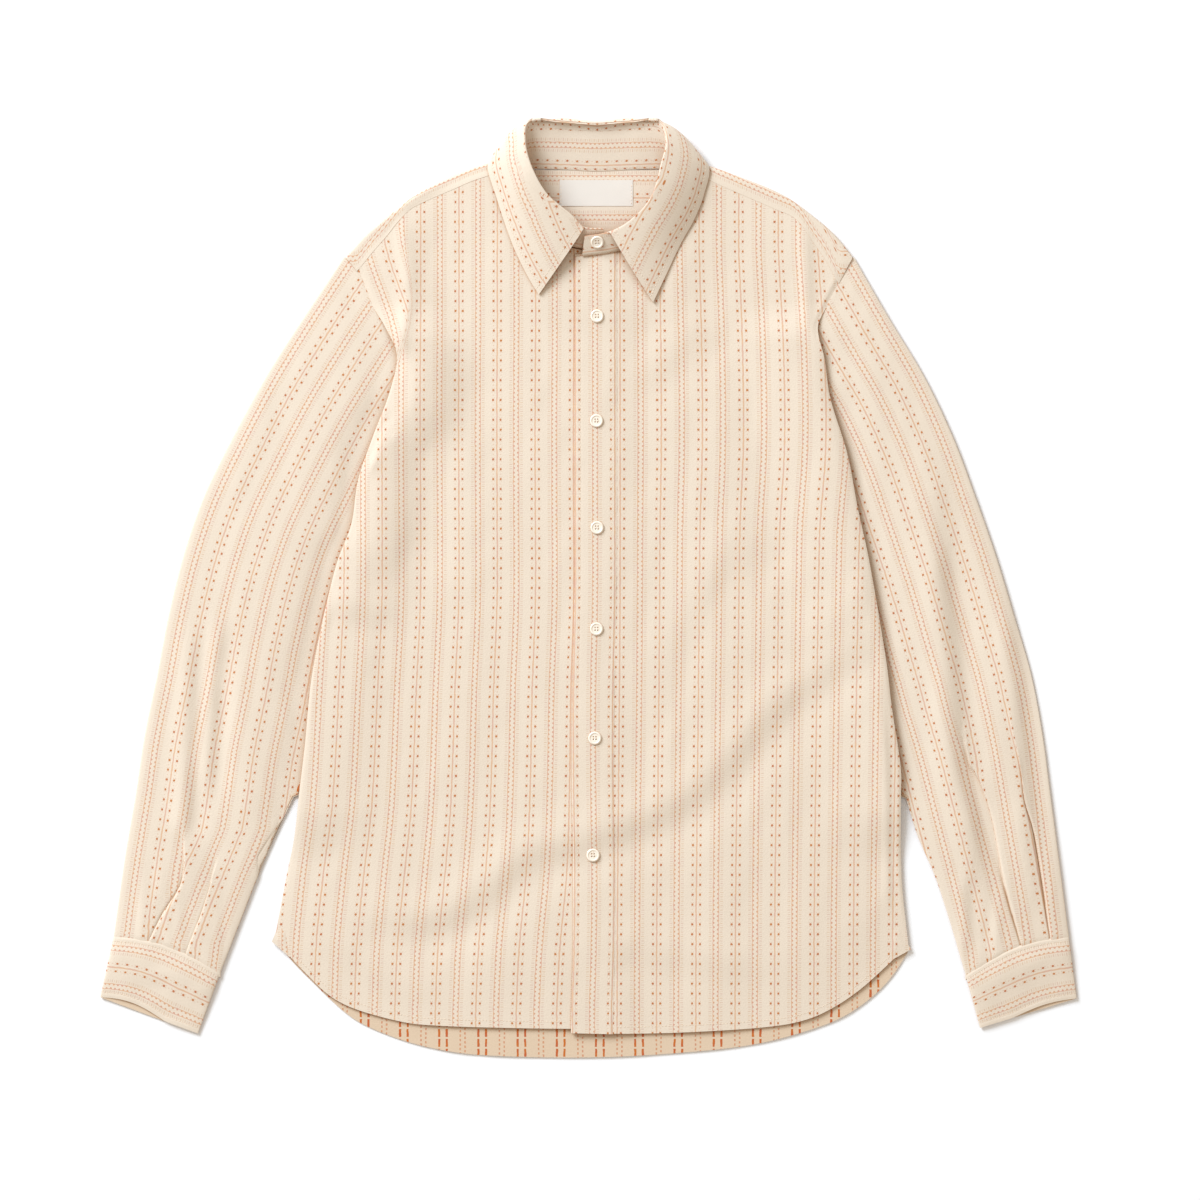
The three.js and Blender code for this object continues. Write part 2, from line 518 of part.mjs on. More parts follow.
// Sleeve: a tube from the armhole to the cuff, flattened on the surface.
function makeSleeve(part) {
  const straight = (v, u) => {
    const [a, b] = [sleeveOuter(part, v), sleeveInner(part, v)];
    return [mix(a[0], b[0], u), mix(a[1], b[1], u)];
  };
  const path = (v, u) => {
    const [x, y] = straight(v, u);
    const [x0, y0] = straight(0, u);
    const [ax, ay] = armhole(part, u);
    const head = (1 - smooth(v / 0.5)) ** 1.5;
    return [
      x + (ax - x0) * head,
      y + (ay - y0) * head + (cuffBow(u) + SEAM_GAP) * smooth((v - 0.8) / 0.2),
    ];
  };
  const high = (v, u, x, y) => {
    const clear = part.sign * (x - part.side(y));
    const level = mix(SLEEVE_LOW, SLEEVE_HIGH, smooth((clear - 4) / 40));
    return level + foldHeight(SLEEVE_FOLDS, x, y) * smooth((clear - 4) / 12);
  };
  const stations = [0, 0.05, 0.11, 0.18, 0.26, 0.34, 0.42, 0.5, 0.58, 0.66, 0.72, 0.78, 0.83,
    0.88, 0.92, 0.96, 1];
  addPiece(`sleeve_${part.name}`, flatTube({
    stations, topSteps: 12, underSteps: 8, path, high, wall: CLOTH,
  }));
}

// Cuff: a two-layer band closed to a ring, its mouth a little open.
function makeCuff(part) {
  const [a0, b0] = [sleeveOuter(part, 1), sleeveInner(part, 1)];
  const path = (v, u, top) => {
    const x = mix(mix(a0[0], part.cuffOut[0], v), mix(b0[0], part.cuffIn[0], v), u);
    const y = mix(mix(a0[1], part.cuffOut[1], v), mix(b0[1], part.cuffIn[1], v), u);
    const mouth = top ? part.mouth * Math.sin(Math.PI * u ** 0.7) : 0;
    return [x, y + mix(cuffBow(u) - SEAM_GAP, mouth, v)];
  };
  addPiece(`cuff_${part.name}`, flatTube({
    stations: [0, 0.35, 0.7, 1],
    topSteps: 10,
    underSteps: 7,
    path,
    high: (v) => mix(SLEEVE_HIGH + 0.6, CUFF_HIGH, v),
    wall: CUFF_WALL,
  }));
}

// Smooth line through three named columns of the collar tables.
function guide(table, columns) {
  return new THREE.CatmullRomCurve3(table.map((row) => new THREE.Vector3(
    ...columns.map((column) => row[column]))));
}

const standGuides = () => [guide(STAND, ['nx', 'ny', 'nz']), guide(STAND, ['fx', 'fy', 'fz'])];

// Collar stand: a strip round the neck from the neck seam to the fold, its ends overlapped.
function makeStand() {
  const [seam, fold] = standGuides();
  const grid = range(34, (s) => range(2, (t) => seam.getPoint(s).lerp(fold.getPoint(s), t)));
  addPiece('collar_stand', wallBetween(grid, movedOut(grid, COLLAR_WALL, -1)));
}

// Collar leaf: folds over the top of the stand and falls on the fronts and shoulders.
function makeLeaf() {
  const [fold, middle, edge] = [['fx', 'fy', 'fz'], ['mx', 'my', 'mz'], ['ex', 'ey', 'ez']]
    .map((columns) => guide(LEAF, columns));
  const grid = range(32, (s) => {
    const [f, m, e] = [fold.getPoint(s), middle.getPoint(s), edge.getPoint(s)];
    const control = m.clone().multiplyScalar(2).addScaledVector(f, -0.5).addScaledVector(e, -0.5);
    const bend = new THREE.QuadraticBezierCurve3(f, control, e);
    return range(5, (t) => bend.getPoint(t));
  });
  addPiece('collar_leaf', wallBetween(grid, movedOut(grid, COLLAR_WALL, 1)));
}

// Button: a turned disc with a rounded rim and a shallow dish.
function makeButtons() {
  const profile = [[0, 0], [4.6, 0], [BUTTON_RADIUS, 0.8], [BUTTON_RADIUS, 1.7],
    [4.9, BUTTON_THICK], [4.0, 1.7], [0, 1.5]].map(([r, z]) => new THREE.Vector2(r, z));
  const disc = new THREE.LatheGeometry(profile, 12).rotateX(Math.PI / 2);
  FRONT_BUTTONS.forEach(({ x, y }, i) => {
    const mesh = addPiece(`button_front_${i + 1}`, disc.clone(), shell);
    mesh.position.set(x, y, placketHeight(x, y) + CLOTH + SEAM_GAP);
  });
  const [seam, fold] = standGuides().map((line) => line.getPoint(COLLAR_BUTTON.station));
  const up = fold.clone().sub(seam);
  const tilt = Math.atan2(up.z, up.y);
  const out = new THREE.Vector3(0, -Math.sin(tilt), Math.cos(tilt));
  const top = addPiece('button_collar', disc.clone(), shell);
  top.position.copy(seam).addScaledVector(up, COLLAR_BUTTON.up)
    .addScaledVector(out, COLLAR_WALL + SEAM_GAP);
  top.rotation.x = tilt;
}

// Gusset: a small folded triangle over the hem corner where front and back part.
function makeGussets() {
  Object.entries(GUSSETS).forEach(([name, [a, b, c, d]]) => {
    const height = name === 'left' ? leftFrontHeight : rightFrontHeight;
    const grid = range(3, (v) => range(2, (u) => {
      const x = mix(mix(a[0], b[0], u), mix(c[0], d[0], u), v);
      const y = mix(mix(a[1], b[1], u), mix(c[1], d[1], u), v);
      return new THREE.Vector3(x, y, height(x, y) + CLOTH + SEAM_GAP);
    }));
    addPiece(`gusset_${name}`, raisedWall(grid, CLOTH));
  });
}

// Bare woven label on the inside of the yoke.
function makeLabel() {
  addPiece('neck_label', raisedWall(panelGrid({
    rows: 2,
    cols: 4,
    left: () => LABEL.left,
    right: () => LABEL.right,
    top: () => LABEL.top,
    bottom: () => LABEL.bottom,
    height: () => CLOTH + SEAM_GAP,
  }), LABEL.wall), satin);
}

makeBack();
makeYoke();
makeFronts();
makePlacket();
SIDES.forEach((part) => {
  makeSleeve(part);
  makeCuff(part);
});
makeStand();
makeLeaf();
makeButtons();
makeLabel();
makeGussets();

export default shirt;
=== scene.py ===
import math
from functools import partial, partialmethod

import bpy
import numpy as np
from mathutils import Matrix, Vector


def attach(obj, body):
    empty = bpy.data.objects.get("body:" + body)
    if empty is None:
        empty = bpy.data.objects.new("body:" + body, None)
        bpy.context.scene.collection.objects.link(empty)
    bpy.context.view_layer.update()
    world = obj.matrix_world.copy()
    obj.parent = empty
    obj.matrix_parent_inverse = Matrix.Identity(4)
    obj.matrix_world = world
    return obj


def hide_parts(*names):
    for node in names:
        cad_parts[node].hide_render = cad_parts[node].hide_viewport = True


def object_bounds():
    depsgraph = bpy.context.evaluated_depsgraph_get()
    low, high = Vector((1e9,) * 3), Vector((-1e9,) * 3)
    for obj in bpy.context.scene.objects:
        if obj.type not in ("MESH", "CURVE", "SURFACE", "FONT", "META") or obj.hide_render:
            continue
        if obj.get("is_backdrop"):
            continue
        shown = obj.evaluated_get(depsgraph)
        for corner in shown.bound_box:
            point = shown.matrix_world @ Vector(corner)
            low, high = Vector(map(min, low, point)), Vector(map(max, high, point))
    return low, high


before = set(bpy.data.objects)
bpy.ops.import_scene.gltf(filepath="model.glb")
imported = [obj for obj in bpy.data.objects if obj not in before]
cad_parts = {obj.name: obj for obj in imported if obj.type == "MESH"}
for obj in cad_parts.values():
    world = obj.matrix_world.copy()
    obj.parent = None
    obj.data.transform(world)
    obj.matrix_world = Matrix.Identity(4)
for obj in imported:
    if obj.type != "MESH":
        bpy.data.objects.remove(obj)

cad_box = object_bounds()

# Photographer's table and light. A white paper sweep under the shirt, one large soft source at the
# upper left and an even fill from all round, seen from straight above with a long lens.
MM = 0.001
FLOOR_SIZE = 6.0
FLOOR_DROP = 0.2 * MM
PAPER_WHITE = "#F6FAFF"
VIEW_CENTRE = (10.6 * MM, -10.6 * MM)
VIEW_WIDTH = 1056 * MM
VIEW_DEPTH = 30
LENS_MM = 200
SENSOR_MM = 36
KEY_ELEVATION = math.radians(32)
KEY_AZIMUTH = math.radians(132)     # where the key stands, anticlockwise from +X
KEY_DISTANCE = 7.0
KEY_SIZE = 3.8
KEY_POWER = 626
KEY_COLOUR = "#F0F7FF"
FILL_COLOUR = "#FFF3E4"
FILL_STRENGTH = 0.66


def linear(colour):
    """sRGB hex to linear RGBA: each channel goes through the sRGB curve."""
    parts = np.array([int(colour[i:i + 2], 16) for i in (1, 3, 5)]) / 255
    low, high = parts / 12.92, ((parts + 0.055) / 1.055) ** 2.4
    return (*np.where(parts <= 0.04045, low, high).tolist(), 1.0)


def add(tree, kind, settings=None, links=None):
    """Adds one node, with its settings and with its inputs linked to outputs or set to values."""
    node = tree.nodes.new(kind)
    for key, value in (settings or {}).items():
        setattr(node, key, value)
    for key, value in (links or {}).items():
        value = getattr(value, "socket", value)
        if isinstance(value, bpy.types.NodeSocket):
            tree.links.new(value, node.inputs[key])
        else:
            node.inputs[key].default_value = value
    return node


def new_material(name):
    """A material with its default nodes removed, and its node tree."""
    material = bpy.data.materials.new(name)
    material.use_nodes = True
    material.node_tree.nodes.clear()
    return material, material.node_tree


def surface(material, tree, inputs):
    """The material, given its surface shader with these inputs."""
    shader = add(tree, "ShaderNodeBsdfPrincipled", links=inputs)
    add(tree, "ShaderNodeOutputMaterial", links={"Surface": shader.outputs[0]})
    return material


def place(name, data):
    """New object with this data, in the scene."""
    placed = bpy.data.objects.new(name, data)
    bpy.context.scene.collection.objects.link(placed)
    return placed


half = FLOOR_SIZE / 2
floor_mesh = bpy.data.meshes.new("floor")
floor_mesh.from_pydata([(-half, -half, 0), (half, -half, 0), (half, half, 0), (-half, half, 0)],
                       [], [(0, 1, 2, 3)])
# Smooth uncoated paper: even, matt, with no gloss
floor_mesh.materials.append(surface(*new_material("matt_white_paper"), {
    "Base Color": linear(PAPER_WHITE), "Roughness": 1.0, "Specular IOR Level": 0.0}))
floor = place("floor", floor_mesh)
floor.location.z = -FLOOR_DROP
floor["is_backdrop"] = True

camera_data = bpy.data.cameras.new("camera")
camera_data.lens, camera_data.sensor_width, camera_data.clip_end = LENS_MM, SENSOR_MM, VIEW_DEPTH
camera = place("camera", camera_data)
camera.location = (*VIEW_CENTRE, VIEW_WIDTH * LENS_MM / SENSOR_MM)
bpy.context.scene.camera = camera

key_data = bpy.data.lights.new("key", "AREA")
key_data.shape, key_data.size, key_data.energy = "DISK", KEY_SIZE, KEY_POWER
key_data.color = linear(KEY_COLOUR)[:3]
key = place("key", key_data)
reach = KEY_DISTANCE * math.cos(KEY_ELEVATION)
key.location = (reach * math.cos(KEY_AZIMUTH), reach * math.sin(KEY_AZIMUTH),
                KEY_DISTANCE * math.sin(KEY_ELEVATION))
key.rotation_euler = (0, math.pi / 2 - KEY_ELEVATION, KEY_AZIMUTH)

world = bpy.data.worlds.new("studio")
world.use_nodes = True
fill = world.node_tree.nodes["Background"].inputs
fill["Color"].default_value = linear(FILL_COLOUR)
fill["Strength"].default_value = FILL_STRENGTH
bpy.context.scene.world = world
bpy.context.scene.view_settings.view_transform = "Standard"

# Shirting. Soft cream cotton, plain weave with a dobby stripe: a pair of dotted columns beside a
# fine line, and half-way between two pairs a double scalloped line with short pale ticks. The
# warp yarns that make the stripes change from terracotta to a pinker rust along their length.
REPEAT = 34.5
YARN_WAVER = 0.9
DOT_COLUMN = 3.35
DOT_PITCH = 8.7
DOT_RADIUS = 0.98
SMALL_DOT_RADIUS = 0.6
DOT_THREAD = (0.4, 2.2)             # half width and reach of the threads beside a dot
LINE_HALF = 0.65
SCALLOP_LINE = (2.1, 2.85)
SCALLOP_DEPTH = 1.15
SCALLOP_PITCH = 3.9
TICK_CENTRE = 4.9
TICK_PITCH = 1.94
TICK_HALF = (1.2, 0.42)
STRONG_TICK_HALF = 0.6
FLOAT_HALF = (0.95, 3.5)
SHORT_FLOAT_HALF = 0.7
# Reach of the ambient occlusion that drives the painted shade in hollows
PAINTED_SHADE_REACH = 20 * MM
GROUND = "#DFD3C3"
# The reverse's ground is darker than the face's: partly painted shade, for the inside seen below
# the hems
REVERSE_GROUND_AND_SHADE = "#D6C2AA"
# Painted shade: the warm brown that hollows are darkened towards
PAINTED_HOLLOW_SHADE = "#E0BC98"
# Each yarn drifts between an orange and a pink shade
DOT_YARN = ("#BE7A42", "#B87048")
LINE_YARN = ("#D4AE8D", "#D0AA97")
SCALLOP_YARN = ("#CD9C79", "#CA9681")
TICK_YARN = ("#D0B69B", "#CDB2A3")
FLOAT_YARN = ("#C26E30", "#BC6238")


class Field:
    """A number that varies over the cloth. Each operator on it adds one math node."""

    def __init__(self, tree, socket):
        self.tree, self.socket = tree, socket

    def math(self, operation, *others):
        """This number and others through one math node."""
        node = add(self.tree, "ShaderNodeMath", {"operation": operation},
                   dict(enumerate((self, *others))))
        return Field(self.tree, node.outputs[0])

    def wrap(self, half):
        """Brought to between -half and half by whole periods."""
        return self.math("WRAP", half, -half)

    __abs__ = partialmethod(math, "ABSOLUTE")
    __add__ = partialmethod(math, "ADD")
    __sub__ = partialmethod(math, "SUBTRACT")
    __mul__ = partialmethod(math, "MULTIPLY")
    __lt__ = partialmethod(math, "LESS_THAN")
    __gt__ = partialmethod(math, "GREATER_THAN")


def blend(tree, share, a, b, kind="MIX"):
    """Colour a with its share of b blended in."""
    return add(tree, "ShaderNodeMix", {"data_type": "RGBA", "blend_type": kind},
               {0: share, 6: a, 7: b}).outputs[2]


def remap(tree, value, low, high, to_low=0.0, to_high=1.0):
    """A number brought from one range to another and held inside it."""
    return add(tree, "ShaderNodeMapRange", links={
        "Value": value, "From Min": low, "From Max": high, "To Min": to_low,
        "To Max": to_high}).outputs[0]


def shirting(name, reverse=False):
    """Matt cotton cloth. The cloth UV map is in millimetres, u across the stripes and v along them.
    The face shows dots, a line and scallops; the reverse shows the yarns' long floats."""
    material, tree = new_material(name)
    uv = add(tree, "ShaderNodeUVMap", {"uv_map": "cloth"}).outputs[0]
    split = add(tree, "ShaderNodeSeparateXYZ", links={0: uv})
    u, v = Field(tree, split.outputs[0]), Field(tree, split.outputs[1])
    noise = lambda scale, detail=1.0, rough=0.5: Field(tree, add(
        tree, "ShaderNodeTexNoise", {"noise_dimensions": "2D"},
        {"Vector": uv, "Scale": scale, "Detail": detail, "Roughness": rough}).outputs[0])
    half = REPEAT / 2
    u = u + (noise(0.21) - 0.5) * YARN_WAVER
    pair = abs(u.wrap(half))
    column = abs(pair - DOT_COLUMN)
    dot_off = abs(v.wrap(DOT_PITCH / 2))
    dots = (column * column + dot_off * dot_off < DOT_RADIUS**2) * 0.95
    # Hourglass of thin threads above and below each dot, and a tiny dot half-way to the next
    glass = (abs(column - dot_off * 0.5) < DOT_THREAD[0]) * (dot_off < DOT_THREAD[1])
    mid_off = dot_off - DOT_PITCH / 2
    mid = column * column + mid_off * mid_off < SMALL_DOT_RADIUS**2
    # Scalloped lines: a thin outer line with beads inward, half a pitch apart on the two sides
    scallop_x = (u + half).wrap(half)
    scallop = abs(scallop_x)
    phase = v * (2 * math.pi / SCALLOP_PITCH) + scallop_x.math("SIGN") * (math.pi / 2)
    wave = phase.math("SINE")
    inner = wave.math("MAXIMUM", 0.0).math("POWER", 0.5) * -SCALLOP_DEPTH + SCALLOP_LINE[0]
    beads = (scallop > inner) * (scallop < SCALLOP_LINE[0] + 0.2)
    outer = (scallop > SCALLOP_LINE[0]) * (scallop < SCALLOP_LINE[1])
    # Short ticks outside the scalloped lines, every second one stronger
    tick = abs(scallop - TICK_CENTRE) < TICK_HALF[0]
    ticks = (tick * (abs(v.wrap(TICK_PITCH / 2)) < TICK_HALF[1])
             * ((abs(v.wrap(TICK_PITCH)) < STRONG_TICK_HALF) * 0.35 + 0.4))
    # Reverse: long floats under the dotted columns, short ones under the scallops
    floats = (column < FLOAT_HALF[0]) * (dot_off < FLOAT_HALF[1])
    shorts = (abs(scallop - SCALLOP_LINE[0]) < SHORT_FLOAT_HALF) * (wave < 0.1)
    layers = [(floats, FLOAT_YARN), (shorts * 0.6, FLOAT_YARN)] if reverse else [
        (ticks, TICK_YARN), ((pair < LINE_HALF) * 0.85, LINE_YARN), (outer * 0.75, LINE_YARN),
        (beads * 0.9, SCALLOP_YARN), (glass.math("MAXIMUM", mid) * 0.26, DOT_YARN),
        (dots, DOT_YARN)]
    shade = remap(tree, noise(0.11), 0.4, 0.62)
    colour = linear(REVERSE_GROUND_AND_SHADE if reverse else GROUND)
    for mask, shades in layers:
        colour = blend(tree, mask, colour, blend(tree, shade, *map(linear, shades)))
    # Uneven dye and slubs, drawn at 1.5 mm because the 0.3 mm threads are finer than a pixel
    slub = noise(0.65, 3.0, 0.7)
    colour = blend(tree, 1.0, colour, remap(tree, slub, 0.3, 0.7, 0.965, 1.02), "MULTIPLY")
    # Painted shade: where ambient occlusion finds a hollow, the colour is tinted warmer and darker,
    # standing in for the light bounced between cream layers there
    seen = add(tree, "ShaderNodeAmbientOcclusion", {"samples": 8}, {"Distance": PAINTED_SHADE_REACH})
    painted_shade = remap(tree, seen.outputs[1], 0.25, 0.88, 1.0, 0.0)
    colour = blend(tree, painted_shade, colour, linear(PAINTED_HOLLOW_SHADE), "MULTIPLY")
    bump = add(tree, "ShaderNodeBump", links={
        "Strength": 0.5, "Distance": 0.35 * MM,
        "Height": (floats if reverse else dots) * 0.5 + slub})
    return surface(material, tree, {
        "Base Color": colour, "Roughness": 0.88, "Specular IOR Level": 0.25,
        "Sheen Weight": 0.12, "Sheen Roughness": 0.5, "Normal": bump.outputs[0]})


face = shirting("dobby_stripe_cotton")
face_and_reverse = [face, shirting("dobby_stripe_cotton_reverse", reverse=True)]

# Back. One wide panel from the yoke seam to the rounded shirt tail. It lies on the table with its
# face down, so that its reverse shows below the front hems, and rides over the tucked sleeves.
CLOTH = 1.2
SIDE_GAP = 0.9
FRONT_LIFT = 3.9
TUCK = 13
TUCK_LIFT = 4.6
BACK_SEAM_Y = 267
SEAM_SHOWS_Y = 205
GAP_TOP_Y = -184
LEFT_SIDE = [
    (292, -215), (278, -202), (251, -191), (229, -178), (205, -168), (173, -174), (133, -189),
    (95, -202), (56, -208), (24, -220), (-19, -231), (-80, -243), (-140, -249), (-182, -254),
    (-218, -258), (-253, -265), (-306, -275)]
RIGHT_SIDE = [
    (292, 234), (268, 220), (248, 210), (229, 202), (201, 208), (167, 213), (118, 228),
    (71, 237), (25, 247), (-63, 262), (-104, 267), (-159, 275), (-188, 275), (-257, 276),
    (-316, 282)]
BACK_HEM = [
    (-277, -307), (-264, -324), (-248, -341), (-209, -377), (-174, -394), (-136, -405),
    (-93, -411), (4, -413), (93, -408), (149, -401), (195, -389), (225, -377), (251, -359),
    (268, -341), (283, -318)]


def along(table, at):
    """Value of a table's second column where its first equals `at`: a cubic through the rows,
    with each row's slope taken from its two neighbours."""
    rows = np.array(sorted(table), float)
    x, y = rows[:, 0], rows[:, 1]
    before, after = np.r_[0, np.arange(len(x) - 1)], np.r_[np.arange(1, len(x)), len(x) - 1]
    slope = (y[after] - y[before]) / (x[after] - x[before])
    at = np.clip(at, x[0], x[-1])
    i = np.clip(np.searchsorted(x, at, "right") - 1, 0, len(x) - 2)
    step = x[i + 1] - x[i]
    t = (at - x[i]) / step
    return ((2 * t**3 - 3 * t**2 + 1) * y[i] + (t**3 - 2 * t**2 + t) * step * slope[i]
            + (3 * t**2 - 2 * t**3) * y[i + 1] + (t**3 - t**2) * step * slope[i + 1])


def smooth(t):
    """Smooth step: 0 below 0, 1 above 1, 3t^2 - 2t^3 between."""
    t = np.clip(t, 0, 1)
    return t * t * (3 - 2 * t)


def mix(a, b, t):
    """Straight blend from a to b."""
    return a + (b - a) * t


def soft_noise(x, y, scale_x, scale_y, seed):
    """Smooth noise from -1 to 1: random values on a lattice of the two scales, blended by
    smooth steps."""
    lattice = np.random.default_rng(seed).uniform(-1, 1, (64, 64))
    gx, gy = x / scale_x + 32.0, y / scale_y + 32.0
    i, j = np.floor(gx).astype(int), np.floor(gy).astype(int)
    fx, fy = smooth(gx - i), smooth(gy - j)
    corner = lambda a, b: lattice[(i + a) % 64, (j + b) % 64]
    return mix(mix(corner(0, 0), corner(1, 0), fx), mix(corner(0, 1), corner(1, 1), fx), fy)


# x of the body's sides at y
left_side, right_side = partial(along, LEFT_SIDE), partial(along, RIGHT_SIDE)


def body_inward(x, y):
    """Distance in from the nearer side of the body."""
    return np.minimum(x - left_side(y), right_side(y) - x)


def back_height(x, y):
    """Height of the back's outer face: on the table, raised by a smooth step over the sleeves
    tucked under its sides."""
    stretch = smooth((252 - y) / 36) * smooth((y - GAP_TOP_Y + 60) / 52)
    return TUCK_LIFT * stretch * smooth((TUCK + 70 - body_inward(x, y)) / 66)


def stack(*parts):
    """Parts joined along a new last axis, as x, y and z are into points."""
    return np.stack(parts, -1)


def grid(down, across):
    """Two arrays of one shape, with the values down its rows and across its columns."""
    return np.meshgrid(down, across, indexing="ij")


def panel(rows, cols, left, right, top, bottom):
    """x and y over a panel between its left and right edges (x by y) and its top and bottom edges
    (y by x), found by repeated blending towards both. Columns lie closer together at the sides."""
    t = np.linspace(0, 1, cols + 1)
    v, u = grid(np.linspace(0, 1, rows + 1), mix(t, (1 - np.cos(np.pi * t)) / 2, 0.6))
    x, y = np.zeros_like(u), np.zeros_like(u)
    for _ in range(60):
        x = mix(x, mix(left(y), right(y), u), 0.6)
        y = mix(y, mix(top(x), bottom(x), v), 0.6)
    return x, y


def sheet_mesh(name, points, uv, materials, wrap=False, keep=None, flip=False):
    """Mesh of a grid of points in millimetres, a quad between each four, where `keep` is true if
    given. `wrap` joins the last column to the first, though not in the UV. Open edges are sharp,
    so that the face's shading doesn't bend over the cloth's cut edge."""
    rows, cols = points.shape[:2]
    used_cols = cols - 1 if wrap else cols
    r, c = grid(np.arange(rows - 1), np.arange(cols - 1))
    corners = stack(stack(r, r, r + 1, r + 1), stack(c, c + 1, c + 1, c)).reshape(-1, 4, 2)
    if keep is not None:
        corners = corners[keep.reshape(-1)]
    if flip:
        corners = corners[:, ::-1]
    used, faces = np.unique(corners[..., 0] * used_cols + corners[..., 1] % used_cols,
                            return_inverse=True)
    vertices = points[:, :used_cols].reshape(-1, 3)[used] * MM
    loops_uv = uv[corners[..., 0], corners[..., 1]]
    mesh = bpy.data.meshes.new(name)
    mesh.vertices.add(len(vertices))
    mesh.vertices.foreach_set("co", vertices.ravel())
    mesh.loops.add(faces.size)
    mesh.loops.foreach_set("vertex_index", faces.ravel())
    mesh.polygons.add(len(corners))
    mesh.polygons.foreach_set("loop_start", np.arange(0, faces.size, 4))
    mesh.polygons.foreach_set("use_smooth", np.ones(len(corners), bool))
    mesh.update(calc_edges=True)
    edge_of_loop = np.empty(len(mesh.loops), np.int32)
    mesh.loops.foreach_get("edge_index", edge_of_loop)
    is_open = np.bincount(edge_of_loop, minlength=len(mesh.edges)) == 1
    mesh.attributes.new("sharp_edge", "BOOLEAN", "EDGE").data.foreach_set("value", is_open)
    mesh.uv_layers.new(name="cloth").data.foreach_set("uv", loops_uv.ravel())
    for material in materials:
        mesh.materials.append(material)
    return place(name, mesh)


def cloth_piece(node, points, uv, cut, rests_on, wall=CLOTH, held="laid", slot="shirting",
                materials=face_and_reverse, **shape):
    """A piece of cloth for a node of the part. Its wall grows on its reverse side. Its cut, a
    width and a length in mm and an area in square metres, is not used."""
    piece = sheet_mesh(f"{node}_cloth", points, uv, materials, **shape)
    solid = piece.modifiers.new("wall", "SOLIDIFY")
    solid.thickness = wall * MM
    solid.offset = -1
    solid.use_even_offset = False
    solid.material_offset = 1
    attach(piece, "root")
    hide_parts(node)
    width, length, area = cut


BACK_CUT = (560, 680, 0.318)
BACK_STRIPE_X = 10.5
x, y = panel(150, 130, lambda y: left_side(y) + 0.6, lambda y: right_side(y) - 0.6,
             lambda x: np.full_like(x, BACK_SEAM_Y - 0.2), lambda x: along(BACK_HEM, x))
hem_wave = soft_noise(x, y, 38, 60, 4) * smooth((-330 - y) / 60)
z = back_height(x, y) + 0.5 * np.abs(hem_wave)
cloth_piece("back", stack(x, y, z), stack(x - BACK_STRIPE_X, y), BACK_CUT, ["floor"])

# Fronts. Two panels from the yoke seams and the neck to the hem. The right one buttons over the
# left. Both roll round at the side seams, and pull into soft folds below the shoulders.
OVERLAP_LIFT = 1.35
NECK_LIFT = 1.5
NECK = (8, 338, 100, 88)            # its centre and its half width and half height
ROLL_WIDTHS = (27, 15)
UNDER_FRONT = 27
FRONT_SEAM = [
    (-203, 280), (-190, 296), (-177, 311), (-165, 326), (-154, 336), (-114, 354), (-97, 361),
    (-69, 368), (88, 368), (113, 357), (166, 334), (184, 325), (199, 304), (209, 290), (220, 269)]
LEFT_FRONT_TOP = FRONT_SEAM[:7] + [
    (-75, 366), (-69, 358), (-62, 343), (-48, 321), (-26, 304), (-5, 297), (17, 296)]
RIGHT_FRONT_TOP = [
    (-13, 293), (-3, 294), (21, 298), (43, 305), (63, 319), (80, 339), (86, 353),
    (93, 363)] + FRONT_SEAM[9:]
LEFT_HEM = [
    (-277, -306), (-264, -322), (-248, -339), (-228, -358), (-208, -369), (-175, -379),
    (-147, -384), (-67, -387), (17, -388)]
RIGHT_HEM = [
    (-16, -391), (40, -392), (103, -390), (167, -385), (197, -378), (221, -366), (242, -351),
    (262, -333), (283, -313)]
FRONT_EDGE = [
    (300, -11.4), (148, -11.2), (25, -11.4), (-40, -12.4), (-90, -13.4), (-169, -14),
    (-220, -13.4), (-308, -13), (-392, -15)]
# Folds: ends (ax, ay) and (bx, by), half width, rise (a trough where below zero)
FRONT_FOLDS = [
    (-163, 326, -156, 255, 7, 1.6), (-156, 258, -166, 206, 7, 1.7), (-176, 146, -193, 100, 9, 1.4),
    (190, 322, 193, 226, 6, 1.8), (-196, 116, -187, 106, 5, 0.8),
    (-179, 152, -171, 134, 5, -1.3)]
# Slopes that turn from the light: path (x, y), drop, half width
FRONT_SLOPES = [
    ([(300, -5), (245, -52), (175, -105), (93, -187), (-1, -228), (-48, -240), (-118, -292),
      (-177, -296), (-240, -290)], 1.4, 15),
    ([(187, 72), (93, -22), (46, -140)], 0.6, 16), ([(122, 236), (80, 200), (34, 165)], 0.6, 14),
    ([(-156, 330), (-132, 224), (-112, 120)], 1.9, 21),
    ([(-154, 160), (-162, 80), (-160, 0)], 1.8, 20),
    ([(262, -90), (265, -190), (268, -300)], 0.8, 4),
    ([(-250, -12), (-205, -24), (-165, -32)], 0.8, 12),
    ([(-13, -316), (80, -330), (187, -351)], 0.7, 15),
    ([(-236, -304), (-190, -345), (-130, -374)], 0.6, 12),
    ([(262, 10), (215, -40), (150, -70)], 0.5, 14)]
LIGHT_WAY = (-0.67, 0.74)
# Drape: height, length across and along the cloth, slant and seed of each noise
FRONT_DRAPE = [(0.7, 38, 150, 0, 1), (0.4, 24, 70, 1 / 3, 2), (0.25, 15, 33, -1 / 4, 3)]

# x of the edge of the front that buttons over, at y
front_edge = partial(along, FRONT_EDGE)


def unit(vectors):
    """Each vector over its own length."""
    return vectors / np.linalg.norm(vectors, axis=-1, keepdims=True)


def curve(rows, s):
    """Smooth line through rows of numbers at equal steps, s from 0 to 1."""
    at = np.linspace(0, 1, len(rows))
    return stack(*(along(list(zip(at, column)), s) for column in zip(*rows)))


